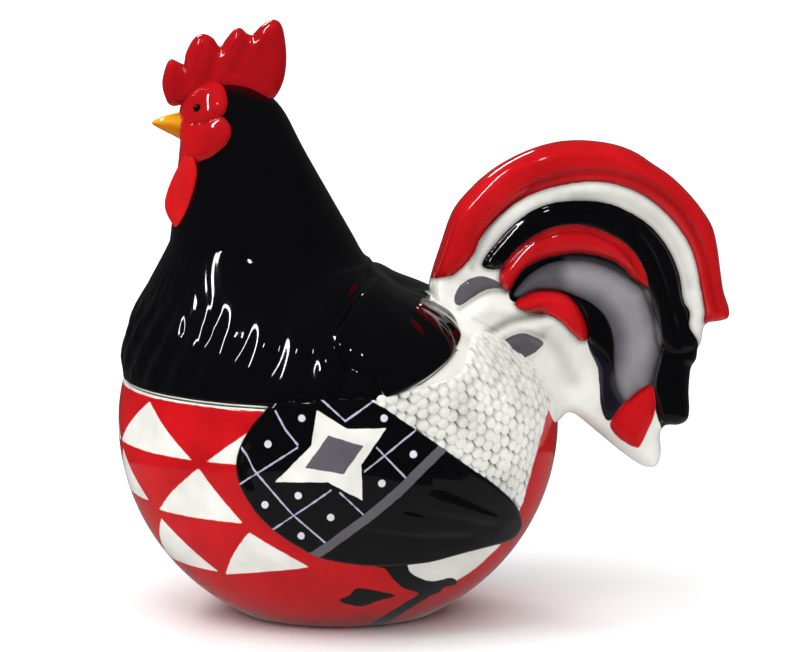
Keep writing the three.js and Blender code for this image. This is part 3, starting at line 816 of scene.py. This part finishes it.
def smooth_maximum(a, b, width):
    """The larger of two values, rounded over where they are within a width of each other."""
    share = np.clip(0.5 + 0.5 * (a - b) / width, 0, 1)
    return blend(b, a, share) + width * share * (1 - share)


def pads(view, shapes):
    """How high each raised shape stands at each place."""
    return [height * swell(inside(view, curve(shape, 5)), reach) for shape, height, reach in shapes.values()]


def tail_half_thickness(y, z, outline):
    """Half the plate's thickness: the plate and its feathers, rounded at the rim and merged into the rump.
    The merging is a smooth maximum of the squared half widths of the plate and of the belly's oval."""
    rim = dome(inside(np.stack([y, z], -1), outline), 7.0)
    view = side_view(along_xyz(TAIL_HALF, y, z))
    lift = union(*pads(view, FEATHERS))
    for ridge in RIDGES:
        lift -= 1.1 * near(view, ridge, 1.9) * smooth(lift / 2)
    lift = np.maximum(lift, 1.8 * near(view, WHITE_BAND, 4.0))
    belly_squared = belly_half_width_squared(y, z)
    root = TAIL_HALF + 13.0 * np.exp(np.minimum(belly_squared, 0) / 2400.0)
    own = (root + lift * smooth(-belly_squared / 900)) * rim
    belly_half = np.sqrt(np.maximum(belly_squared, 0)) - 0.35
    target = np.where(belly_squared > 0, np.sign(belly_half) * belly_half**2, belly_squared)
    detail = sum(height * near(view, fold, width) for fold, height, width in FOLDS) + sum(pads(view, ROOT_PADS))
    half = np.sqrt(np.maximum(smooth_maximum(target, own**2, 420.0), 0)) * np.where(rim > 0, 1, 0)
    return half + detail * rim * smooth(1.4 - belly_squared / 700)


tail_outline = curve(TAIL, 8)
tail_border = resampled(tail_outline, 440)
tail_radii = 1 - (1 - np.linspace(0.01, 1, 112)) ** 1.3
tail_plane = ring_layout(tail_border, np.array([115.0, 145.0]), tail_radii)
tail_half = tail_half_thickness(tail_plane[..., 0], tail_plane[..., 1], tail_outline)
tail_half[-1] = 0
tail_left = np.concatenate([tail_half[..., None], tail_plane], -1)


def kept_in_wall(points):
    """Points that would stand in the jar's cavity are moved out to just under its skin, along their radius."""
    centre = np.array([0, 0, WIDEST_Z])
    level = np.linalg.norm((points - centre) / (half_axes(points) - UNDER_SKIN), axis=-1, keepdims=True)
    return np.where(level < 1, centre + (points - centre) / np.maximum(level, 0.2), points)


tail = kept_in_wall(np.concatenate([tail_left, mirrored(tail_left)[::-1][1:]]))


def tail_paint(points):
    """The distances for each colour, and a field that darkens the white along edges, ridges, folds and under the outer
    red: pooled glaze and painted shade.
    """
    view = side_view(points)
    outlines = {key: outline for key, (outline, *_) in (FEATHERS | ROOT_PADS).items()}
    shape = {key: inside(view, curve(outline, 5)) for key, outline in outlines.items()}
    gathered_glaze_and_shade = sum(0.55 * np.exp(-((shape[key] / 1.1) ** 2)) for key in ("sickle", "black", "middle", "small", "grey"))
    gathered_glaze_and_shade += sum(0.4 * near(view, ridge, 1.6) for ridge in RIDGES)
    gathered_glaze_and_shade += sum(0.22 * max(-height, 0) * near(view, fold, width) for fold, height, width in FOLDS)
    gathered_glaze_and_shade += 0.3 * smooth(1 - distance_to(view, curve(BAND_SHADE, closed=False)) / 5.0)
    return {
        "dark": union(shape["black"], shape["inner"], shape["block"], inside(view, curve(UNDERPAINT, 5))),
        "indigo": shape["indigo"],
        "pooled_glaze_and_shade": np.clip(gathered_glaze_and_shade, 0, 0.85),
        "grey": union(shape["grey"], shape["crescent"], shape["leaf"]),
        "wash": np.minimum(stroke(view, GREY_LIGHT, 13.0), shape["grey"] - 1.5),
        "red": union(shape["sickle"], shape["middle"], shape["small"], shape["diamond"]),
    }


tail_layers = [("dark", BLACK), ("indigo", INDIGO), ("grey", "#58565c"), ("wash", "#8d8b90", 5.0), ("red", RED)]
# The pooled field paints the white darker along edges, ridges and folds and under the red rim: pooled glaze and
# painted shadow.
tail_glaze = painted_glaze("painted_earthenware_white", WHITE, tail_layers, pool_and_shade=("pooled_glaze_and_shade", "#6a6662"))
put(closed_skin("tail_casting", tail, tail_paint(tail)), "jar", "glaze_white", tail_glaze, "tail")

# %% [markdown]
# ## The lid
# The lid's skin is three fields that meet: a crown, a neck whose rings shrink upwards, and a cape that
# falls to the seam along a Bezier curve in each direction. A subdivided cage could give the same flow,
# but its hem would only come near the seam, and here it has to lie on it all the way round.

# %% The lid's skin
NECK_Z, NECK_Y, NECK_LENGTH, NECK_WIDTH = 175.0, -34.8, 43.0, 38.5
HEAD_Z, HEAD_Y, HEAD_LENGTH, HEAD_WIDTH, CROWN, LEAN = 225.0, -46.0, 26.0, 23.0, 23.5, -4.0
HEM_RISE, HEM_TUCK, FLARE, DROP, BACK_DROP = 30.0, 12.0, 8.0, 18.0, 17.0
FLANGE_DEEP, FLANGE_WALL, SEAL_ROOM = 9.0, 4.0, 3.2


def neck_ring(turn, z):
    """An ellipse whose centre and half axes go from the cape's end to the head in proportion to height."""
    share = (z - NECK_Z) / (HEAD_Z - NECK_Z)
    y = blend(NECK_Y, HEAD_Y, share) + blend(NECK_LENGTH, HEAD_LENGTH, share) * np.cos(turn)
    return along_xyz(blend(NECK_WIDTH, HEAD_WIDTH, share) * np.sin(turn), y, z)


def crown_skin(turn, angle):
    """The top of the head: a quarter of an oval, leaning forward as it rises."""
    y = HEAD_Y + LEAN * np.cos(angle) + HEAD_LENGTH * np.sin(angle) * np.cos(turn)
    return along_xyz(HEAD_WIDTH * np.sin(angle) * np.sin(turn), y, HEAD_Z + CROWN * np.cos(angle))


def cape_skin(turn, share):
    """A cubic Bezier from the neck's end to the seam: flared under the neck, upright at the hem."""
    back = backness(turn)
    outward = along_xyz(np.sin(turn), np.cos(turn), 0)
    up = np.array([0, 0, 1.0])
    top = neck_ring(turn, NECK_Z)
    hem = belly(turn, seam(turn)) + up * JOINT_GAP
    flare = top + outward * FLARE - up * blend(DROP, BACK_DROP, back)[..., None]
    lift = hem - outward * (HEM_TUCK * back)[..., None] + up * (HEM_RISE * (1 - back))[..., None]
    t = share[..., None]
    return top * (1 - t) ** 3 + flare * 3 * t * (1 - t) ** 2 + lift * 3 * t**2 * (1 - t) + hem * t**3


def lid_skin(turn, along):
    """0 to 1 is the crown, 1 to 2 the neck and 2 to 3 the cape."""
    turn, along = np.broadcast_arrays(turn, along)
    crown_part = crown_skin(turn, np.clip(along, 0, 1) * np.pi / 2)
    neck_part = neck_ring(turn, blend(HEAD_Z, NECK_Z, np.clip(along - 1, 0, 1)))
    cape_part = cape_skin(turn, np.clip(along - 2, 0, 1))
    pick = along[..., None]
    return np.where(pick <= 1, crown_part, np.where(pick <= 2, neck_part, cape_part))


def lid_normal(turn, along):
    """Outward normal by the cross product of two small steps over the skin."""
    step = 2e-3
    at = np.clip(along, 0.02, 3 - step)
    across = lid_skin(turn + step, at) - lid_skin(turn - step, at)
    down = lid_skin(turn, at + step) - lid_skin(turn, at - step)
    way = np.cross(across, down)
    return way / np.linalg.norm(way, axis=-1, keepdims=True)


print("front of the neck, foot and head:", neck_ring(np.pi, NECK_Z).round(1), neck_ring(np.pi, HEAD_Z).round(1))

# %% [markdown]
# ## The relief of the lid
# The face is two red lobes round the eye, with a groove between. A crease parts the neck's cape from the
# saddle behind it. Hackle feathers are shallow upright grooves, and they end above the hem in a row of
# long rounded lobes that catch the window. A bump in the glaze would vanish at the outline, so all of it
# is added to the skin along its normal.

# %% The lid's relief
UPPER_LOBE = [
    (-73.8, 231.5), (-73.4, 237.5), (-70.2, 242.2), (-65.5, 245.6), (-59.5, 246.8), (-54.2, 245), (-52, 240.5),
    (-51.6, 235.5), (-53.6, 230.8), (-58, 228.2), (-65, 226.6), (-71, 226.6),
]
LOWER_LOBE = [
    (-72.2, 227.5), (-65, 226.4), (-58, 228.4), (-53.6, 229.6), (-50.4, 225.8), (-49.9, 221.4), (-51.8, 217.4),
    (-55.6, 213.8), (-60.4, 210.6), (-65, 209.6), (-69, 210.8), (-71.8, 214.2), (-73, 221),
]
EYE = (-65.3, 234.1)
CREASE = [(14, 156), (9, 149), (3, 141), (-1.5, 134), (-3.6, 127), (-1, 119.5), (6, 113.5), (13, 109), (20, 103)]
ROUND_THE_BEAK = [(-82, 243), (-62, 243), (-58, 226), (-62, 211), (-70, 208), (-82, 208)]
LOBE_COUNT, HACKLE_COUNT = 34, 62


def hem_lobes(turn, z, points):
    """Long rounded ridges above the hem, leaning forward as they fall, between two heights."""
    round_jar = np.arccos(np.cos(turn))
    phase = LOBE_COUNT * (round_jar + 0.008 * z) + 1.1 * ripple(points, 55, 3)
    ridge = (0.5 + 0.5 * np.cos(phase)) ** 0.8
    window = smooth((z - 110) / 12) * smooth((160 - z) / 26)
    return 1.7 * ridge * window * (1 - backness(turn) * 0.9)


def hackles(turn, z, points):
    """Fine upright grooves that wander a little, mostly on the breast."""
    phase = turn * HACKLE_COUNT + 2.2 * ripple(points * np.array([1, 1, 0.35]), 26, 4)
    window = smooth((z - 106) / 12) * smooth((195 - z) / 40) * smooth((-np.cos(turn) - 0.35) / 0.5)
    return -0.30 * (0.5 + 0.5 * np.cos(phase)) ** 3 * window


def lid_relief(turn, points):
    """The lobes and the eye's socket on the head; the hem's ridges, the hackles and the crease below it."""
    view = side_view(points)
    z = points[..., 2]
    lobes = 2.6 * dome(inside(view, curve(UPPER_LOBE)), 5.0) + 2.8 * dome(inside(view, curve(LOWER_LOBE)), 5.0)
    socket = -0.9 * np.exp(-((from_spots(view, [EYE]) / 2.6) ** 2))
    off_crease = distance_to(view, curve(CREASE, closed=False))
    crease = -1.9 * np.exp(-((off_crease / 2.6) ** 2)) + 1.0 * np.exp(-(((off_crease - 7) / 6) ** 2)) * (z < 165)
    return np.where(z > 205, lobes + socket, hem_lobes(turn, z, points) + hackles(turn, z, points) + crease)


print("lobes round the hem:", LOBE_COUNT, "and hackles:", HACKLE_COUNT)

# %% The lid's grid
HEM_ROUND = 2.0
HEM_START = 3 - 0.022  # where along the skin the hem's round begins
EDGE_RINGS = 6


def mouth(turn, inset, up):
    """The rim's inner edge moved level into the mouth, square to the edge, and up."""
    step = 1e-3
    edge = belly(turn, seam(turn), -WALL)
    way = belly(turn + step, seam(turn + step), -WALL) - belly(turn - step, seam(turn - step), -WALL)
    inward = along_xyz(-way[..., 1], way[..., 0], 0)
    inward /= np.linalg.norm(inward, axis=-1, keepdims=True)
    facing = np.sum(inward * along_xyz(-np.sin(turn), -np.cos(turn), 0), -1, keepdims=True)
    return edge + inward * np.where(facing < 0, -1, 1) * inset + np.array([0, 0, 1.0]) * up


def eased(skin, along):
    """Each ring moves toward the mean of the ring above and the ring below, most where crown and neck meet."""
    pull = 0.5 * smooth(1 - np.abs(along[1:-1] - 1.05) / 0.75)[..., None]
    for _ in range(160):
        skin[1:-1] += pull * (0.5 * (skin[:-2] + skin[2:]) - skin[1:-1])
    return skin


def flange_rings(turn):
    """The flange's section, as steps into the mouth and up, from the hem's underside to the cavity."""
    outer, inner, low, corner = SEAL_ROOM, SEAL_ROOM + FLANGE_WALL, -FLANGE_DEEP, 0.8
    section = [
        (0.5, JOINT_GAP), (outer, JOINT_GAP), (outer, low * 0.5), (outer, low + corner), (outer + corner, low),
        (inner - corner, low), (inner, low + corner), (inner, 1.0),
    ]
    return [mouth(turn, inset, up) for inset, up in section]


def lid_rings(columns=440):
    """The outer skin, the hem's quarter round, the flange and the cavity; and how many rings are outside."""
    turn = turns(columns)[None, :]
    neck_and_cape = [np.linspace(1, 2, 62)[1:], np.linspace(2, HEM_START, 76)[1:]]
    along = np.concatenate([np.linspace(0.02, 1, 52), *neck_and_cape])[:, None]
    skin = eased(lid_skin(turn, along), along)
    outer = skin + lid_normal(turn, along) * lid_relief(turn, skin)[..., None]
    hem = belly(turn, seam(turn)) + np.array([0, 0, JOINT_GAP])
    within = mouth(turn, 0, JOINT_GAP) - hem
    within /= np.linalg.norm(within, axis=-1, keepdims=True)
    phi = np.linspace(0, np.pi / 2, EDGE_RINGS + 1)[1:, None, None]
    edge = outer[-1:] + (hem - outer[-1:]) * np.sin(phi) + within * HEM_ROUND * (1 - np.cos(phi))
    stations = np.array([2.78, 2.6, 2.4, 2.2, 2.0, 1.8, 1.5, 1.2, 1.0, 0.8, 0.6, 0.4, 0.2, 0.05])[:, None]
    cavity = lid_skin(turn, stations) - lid_normal(turn, stations) * WALL
    return np.concatenate([outer, edge, *flange_rings(turn), cavity]), len(outer) + EDGE_RINGS


def lid_paint(points, outer_rows):
    """The face's distance, and the white of the hem's underside and all that is inside."""
    view = side_view(points)
    face = union(*[inside(view, curve(shape)) for shape in (UPPER_LOBE, LOWER_LOBE, ROUND_THE_BEAK)])
    row = np.arange(len(points))[:, None] + 0 * view[..., 0]
    return {
        "face": np.where(points[..., 2] > 200, face, OUTSIDE),
        "white": np.where(row > outer_rows - 4.5, 3.0, -3.0),
    }


lid, lid_outer_rows = lid_rings()
# The face's red is painted darker than the jar's red: painted shade on the head.
lid_glaze = painted_glaze("black_glaze_lid", BLACK, [("white", WHITE), ("face", "#b01117")], roughness=0.05)
put(closed_skin("lid_casting", lid, lid_paint(lid, lid_outer_rows)), "lid", "glaze_black", lid_glaze, "lid_shell")

# %% [markdown]
# ## Comb, wattles, beak and eyes
# The comb and the wattles are pillows: plates whose thickness grows from nothing at the outline like a
# quarter round. A bevelled extrusion would keep a flat face and hard corners, which pressed clay never
# has. The comb's points are separated by soft valleys. The beak is a cone that closes over its tip, with
# a line where it shuts. The eyes are two black beads of glaze.

# %% Pillows
COMB = [
    (-66, 238), (-76.2, 237.2), (-79.6, 242), (-80.6, 249), (-77.6, 258.2), (-73.6, 257.8), (-70.9, 256),
    (-69.5, 262), (-65.8, 268.4), (-61.6, 270.4), (-57.2, 268.6), (-54, 264.6), (-51.2, 268), (-47.6, 272.2),
    (-44.6, 273.2), (-41, 270.4), (-38.6, 270.4), (-34.6, 274.4), (-29, 277), (-25.2, 273.6), (-23.4, 262),
    (-24, 252), (-26.2, 245.2), (-29.3, 240.6), (-34, 237), (-50, 232),
]
WATTLE = [
    (-68.2, 218), (-71.2, 214.2), (-73.8, 209), (-77.4, 201.4), (-79.6, 193.5), (-78.6, 187.8), (-75, 182.6),
    (-71.4, 186.2), (-68.2, 192.6), (-65.4, 200.6), (-63.8, 208), (-64.4, 214), (-65.6, 217.4),
]


def pillow(outline, centre, half, reach, columns, rows, seat=None, relief=None):
    """Rings round a centre in the middle plane, moved out to both sides by a dome of the distance inside."""
    border = curve(outline, 8)
    radii = 1 - (1 - np.linspace(0.02, 1, rows)) ** 1.5
    plane = ring_layout(resampled(border, columns), np.array(centre, float), radii)
    out = half * dome(inside(plane, border), reach)
    if relief:
        out = out - relief(plane) * smooth(out / half)
    out[-1] = 0
    left = np.concatenate([out[..., None], plane], -1)
    rings = np.concatenate([left, mirrored(left)[::-1][1:]])
    if seat:
        rings[..., 0] += seat(rings[..., 1], rings[..., 2])
    return rings


def wattle_seat(y, z):
    """How far out a wattle hangs: on the throat's side, by the ellipse of the neck's ring at its height."""
    share = (z - NECK_Z) / (HEAD_Z - NECK_Z)
    centre, length = blend(NECK_Y, HEAD_Y, share), blend(NECK_LENGTH, HEAD_LENGTH, share)
    side = blend(NECK_WIDTH, HEAD_WIDTH, share) * np.sqrt(np.maximum(1 - ((y - centre) / length) ** 2, 0))
    return smooth_maximum(side + 0.2, np.full_like(y, 7.6), 8.0)


VALLEYS = [[(-71, 256), (-68.5, 250)], [(-54, 264), (-56.5, 257), (-58, 251)], [(-38.6, 270), (-43, 262), (-47, 254)]]


def comb_valleys(plane):
    """How deep the valleys between the comb's points are."""
    return sum(1.1 * np.exp(-((distance_to(plane, np.array(v, float)) / 2.4) ** 2)) for v in VALLEYS)


# The comb's red is painted darker than the jar's red: painted shade on the head.
red_glaze = painted_glaze("red_glaze_comb_painted_shade", "#a90e16", [], roughness=0.06)
wattle_glaze = painted_glaze("red_glaze_wattle", "#c8161a", [], roughness=0.07)
comb = pillow(COMB, (-58, 250), 6.2, 5.2, 320, 48, relief=comb_valleys)
put(closed_skin("comb_casting", comb), "lid", "glaze_red", red_glaze, "comb")
wattle = pillow(WATTLE, (-72, 198), 3.6, 5.0, 160, 30, seat=wattle_seat)
for side, rings in (("left", wattle), ("right", mirrored(wattle))):
    put(closed_skin(f"wattle_{side}_casting", rings), "lid", "glaze_red", wattle_glaze, f"{side}_wattle")

# %% Beak and eyes
BEAK_TIP, BEAK_ROOT = np.array([-85.7, 230.6]), np.array([-66.0, 227.5])
BEAK_HIGH, BEAK_WIDE = 18.0, 14.0
BEAK_ARCH, BEAK_HOOK = 3.2, 1.2  # its middle stands above a straight line, its tip hangs below one


def beak_rings(columns=96, rows=48):
    """A cone that narrows evenly and closes over its tip by a seventh-power curve; the shut line is a fine groove."""
    share = np.linspace(0, 0.995, rows)[:, None]
    turn = turns(columns)[None, :]
    size = blend(1, 0.2, share) * np.sqrt(1 - share**7)
    side = np.sin(turn) * BEAK_WIDE / 2 * size
    up = np.cos(turn) * BEAK_HIGH / 2 * size * np.where(np.cos(turn) < 0, 1.08, 0.86)
    shut = 1 - 0.14 * np.exp(-(((np.cos(turn) + 0.1) / 0.12) ** 2)) * smooth((1 - share) / 0.3)
    y = blend(BEAK_ROOT[0], BEAK_TIP[0], share)
    z = blend(BEAK_ROOT[1], BEAK_TIP[1] - BEAK_HOOK, share) + BEAK_ARCH * share * (1 - share) + up
    return along_xyz(side * shut, y, z)


beak = beak_rings()
# The beak's lower half is painted a darker amber: painted shade under the beak.
lower_half_painted_shade = {"amber_shade": (-0.1 - np.cos(turns(96)))[None, :] * 5 + 0 * beak[..., 0]}
beak_glaze = painted_glaze("yellow_glaze_beak", YELLOW, [("amber_shade", AMBER_SHADE)], edge=0.8)
put(closed_skin("beak_casting", beak, lower_half_painted_shade), "lid", "glaze_yellow", beak_glaze, "beak")


def bead(centre, radius, rows=20, columns=40):
    """A ball: rings of a sphere about a centre."""
    polar = np.linspace(0.05, np.pi - 0.05, rows)[:, None]
    turn = turns(columns)[None, :]
    ball = along_xyz(np.sin(polar) * np.cos(turn), np.sin(polar) * np.sin(turn), np.cos(polar))
    return np.array(centre) + radius * ball


def on_lid(view):
    """The lid's point nearest to a place in the side view, on the left."""
    outer = lid[:lid_outer_rows]
    gap = from_spots(side_view(outer), [view]) + 1e3 * (outer[..., 0] < 0)
    return lid[np.unravel_index(gap.argmin(), gap.shape)]


eye_glaze = painted_glaze("black_glaze_eye", BLACK, [], roughness=0.03)
eye_at = on_lid(EYE)
eye = bead(eye_at, 1.9)
for side, rings in (("left", eye), ("right", mirrored(eye))):
    put(closed_skin(f"eye_{side}", rings), "lid", "glaze_black", eye_glaze, "lid_shell")
print("eye at", eye_at.round(1))

# %% [markdown]
# ## The seal
# A band of translucent silicone is stretched round the flange and keeps the cookies dry. It is a ring
# that follows the mouth, with three soft ribs on its outer face. A curve with a bevel profile could make
# it, but the mouth's own function is at hand and keeps it the same distance from the rim all round.

# %% The seal
SEAL_THICK, SEAL_HIGH, SEAL_GAP, SEAL_BELOW, RIB_PROUD = 1.4, 5.0, 0.3, 2.0, 0.35


def mouth_grid(turn, inset, up):
    """A grid of points from columns round the mouth and a row for each step into it and up."""
    base = mouth(turn, 0.0, 0.0)
    step = mouth(turn, 1.0, 0.0) - base
    return base + step * inset[..., None] + along_xyz(0, 0, up)


def seal_ring(columns=360, rows=40):
    """A closed section with three ribs, carried round the mouth, as a torus of rings."""
    turn = turns(columns)[None, :]
    high = np.linspace(0, 1, rows)[:, None]
    outer = SEAL_ROOM - SEAL_GAP - SEAL_THICK
    rib = RIB_PROUD * np.abs(np.sin(high * 3 * np.pi))
    face = mouth_grid(turn, outer + RIB_PROUD - rib, -SEAL_BELOW - SEAL_HIGH + high * SEAL_HIGH)
    back = mouth_grid(turn, outer + SEAL_THICK + 0 * high, -SEAL_BELOW - high * SEAL_HIGH)
    return np.concatenate([face, back])


def silicone(name):
    """Cast silicone: milky, soft and slightly dusty, IOR 1.41."""
    material, tree, place = new_material(name)
    dust = node(tree, "ShaderNodeTexNoise", {"Scale": 300.0, "Detail": 3.0}, {"Vector": place})
    milky = {"data_type": "RGBA", 6: linear("#d3d8d4"), 7: linear("#e9ecea")}
    tone = node(tree, "ShaderNodeMix", milky, {0: dust.outputs[0]})
    gloss = node(tree, "ShaderNodeMapRange", {"To Min": 0.4, "To Max": 0.6}, {"Value": dust.outputs[0]})
    surface(tree, {"IOR": 1.41}, {"Base Color": tone.outputs[2], "Roughness": gloss.outputs[0]})
    return material


put(torus_skin("seal_band", seal_ring()), "lid", "silicone", silicone("cast_silicone"), "lid_seal")

# %% [markdown]
# ## Studio
# A glossy black bird shows its surroundings more than itself. The room is kept dim, the floor pale, and
# narrow window-shaped lights give the long bright lines on the glaze. Broad soft lamps fill the shadows
# without showing as hard reflections. Three faint discs on the floor are all that the glaze mirrors of it,
# so the blacks stay deep. Far from the jar the paper is lit from below, so that it ends in plain white.

# %% The floor
def floor_disc(radius, rings, columns=96):
    """A flat sheet 5 mm thick, a hair under the jar's base; its rings widen with the 1.5th power outwards."""
    reach = radius * np.linspace(0.01, 1, rings)[:, None] ** 1.5 / MM
    turn = turns(columns)[None, :]
    top = along_xyz(reach * np.cos(turn), reach * np.sin(turn), -0.05)
    return np.concatenate([top, (top - np.array([0, 0, 5.0]))[::-1]])


def floor_paper(name):
    """Matt studio paper: near white with a faint fibre, lit from below where it is far from the jar."""
    material, tree, place = new_material(name)
    fibre = node(tree, "ShaderNodeTexNoise", {"Scale": 400.0}, {"Vector": place})
    pale = {"data_type": "RGBA", 6: linear("#f1f1f1"), 7: linear("#f7f7f7")}
    tone = node(tree, "ShaderNodeMix", pale, {0: fibre.outputs[0]})
    away = node(tree, "ShaderNodeVectorMath", {"operation": "LENGTH"}, {"Vector": place})
    far = {"From Min": 0.7, "From Max": 2.5, "To Min": 0.0, "To Max": 0.4}
    lit = node(tree, "ShaderNodeMapRange", far, {"Value": away.outputs["Value"]})
    surface(tree, {"Roughness": 0.9, "Emission Color": linear("#ffffff")}, {
        "Base Color": tone.outputs[2], "Emission Strength": lit.outputs[0]})
    return material


floor = closed_skin("studio_floor", floor_disc(9.0, 30))
floor.visible_glossy = False
floor.data.materials.append(floor_paper("studio_paper"))


def lamp(name, kind, power, mirrored_in_glaze=True):
    """A lamp's object and its data. A lamp that isn't mirrored lights the clay but leaves no reflection."""
    data = bpy.data.lights.new(name, kind)
    data.energy = power
    made = bpy.data.objects.new(name, data)
    made.visible_glossy = mirrored_in_glaze
    scene.collection.objects.link(made)
    return made, data


# %% The floor's glow and the lamps
GLOW = 0.17
for step, across in enumerate((0.40, 0.52, 0.66)):
    glow, data = lamp(f"floor_glow_{step}", "AREA", GLOW * np.pi * np.pi * across**2 / 4)
    data.shape, data.size = "DISK", across
    glow.location = (0.0, 0.03, 0.0005)
    glow.rotation_euler = (np.pi, 0, 0)
    glow.visible_camera = glow.visible_diffuse = glow.visible_shadow = False

AIM = Vector((0.0, 0.03, 0.13))
LAMPS = {  # place, size in metres, power in watts, whether the glaze mirrors it, and its roll in degrees
    "window": ((0.45, -1.2, 1.55), (0.09, 1.5), 15.0, True, 48),
    "small_window": ((0.85, -0.35, 1.55), (0.06, 0.16), 1.5, True, 0),
    "back_window": ((-1.7, -0.7, 1.4), (0.7, 0.12), 8.0, True, 0),
    "fill_left": ((0.9, -1.9, 1.3), (1.6, 1.4), 15.0, False, 0),
    "fill_right": ((1.4, 1.8, 1.1), (1.6, 1.4), 8.0, False, 0),
    "fill_back": ((-2.2, 0.2, 1.5), (1.8, 1.4), 14.0, False, 0),
}
for name, (place, size, power, mirrored_in_glaze, roll) in LAMPS.items():
    made, data = lamp(name, "AREA", power, mirrored_in_glaze)
    data.shape = "RECTANGLE"
    data.size, data.size_y = size
    made.location = place
    aimed = (AIM - Vector(place)).to_track_quat("-Z", "Y")
    made.rotation_euler = (aimed @ Quaternion((0, 0, 1), np.radians(roll))).to_euler()
overhead, data = lamp("overhead", "SUN", 2.8, False)
data.angle = np.radians(80)
overhead.rotation_euler = (np.radians(-8), np.radians(14), 0)
print("lamps:", sorted(LAMPS))

# %% The room and the camera
world = bpy.data.worlds.new("studio")
scene.world = world
world.use_nodes = True
tree = world.node_tree
tree.nodes.clear()
room = node(tree, "ShaderNodeBackground", {"Color": linear("#ffffff"), "Strength": 0.045})
backdrop = node(tree, "ShaderNodeBackground", {"Color": linear("#ffffff"), "Strength": 1.0})
seen = node(tree, "ShaderNodeLightPath").outputs["Is Camera Ray"]
both = node(tree, "ShaderNodeMixShader", None, {0: seen, 1: room.outputs[0], 2: backdrop.outputs[0]})
node(tree, "ShaderNodeOutputWorld", None, {"Surface": both.outputs[0]})
scene.view_settings.view_transform = "Standard"

camera_data = bpy.data.cameras.new("camera")
camera = bpy.data.objects.new("camera", camera_data)
scene.collection.objects.link(camera)
FRAME_WIDTH = 372.0  # mm across the picture at the object
camera_data.sensor_width = 36.0
camera_data.lens = 36.0 * EYE_DISTANCE / FRAME_WIDTH
eye = np.array([EYE_DISTANCE * np.cos(EYE_UP), EYE_Y, EYE_Z + EYE_DISTANCE * np.sin(EYE_UP)]) * MM
camera.location = eye.tolist()
camera.rotation_euler = (np.pi / 2 - EYE_UP, 0, np.pi / 2)
camera_data.clip_end = 50
scene.camera = camera
print("camera at", eye.round(3))
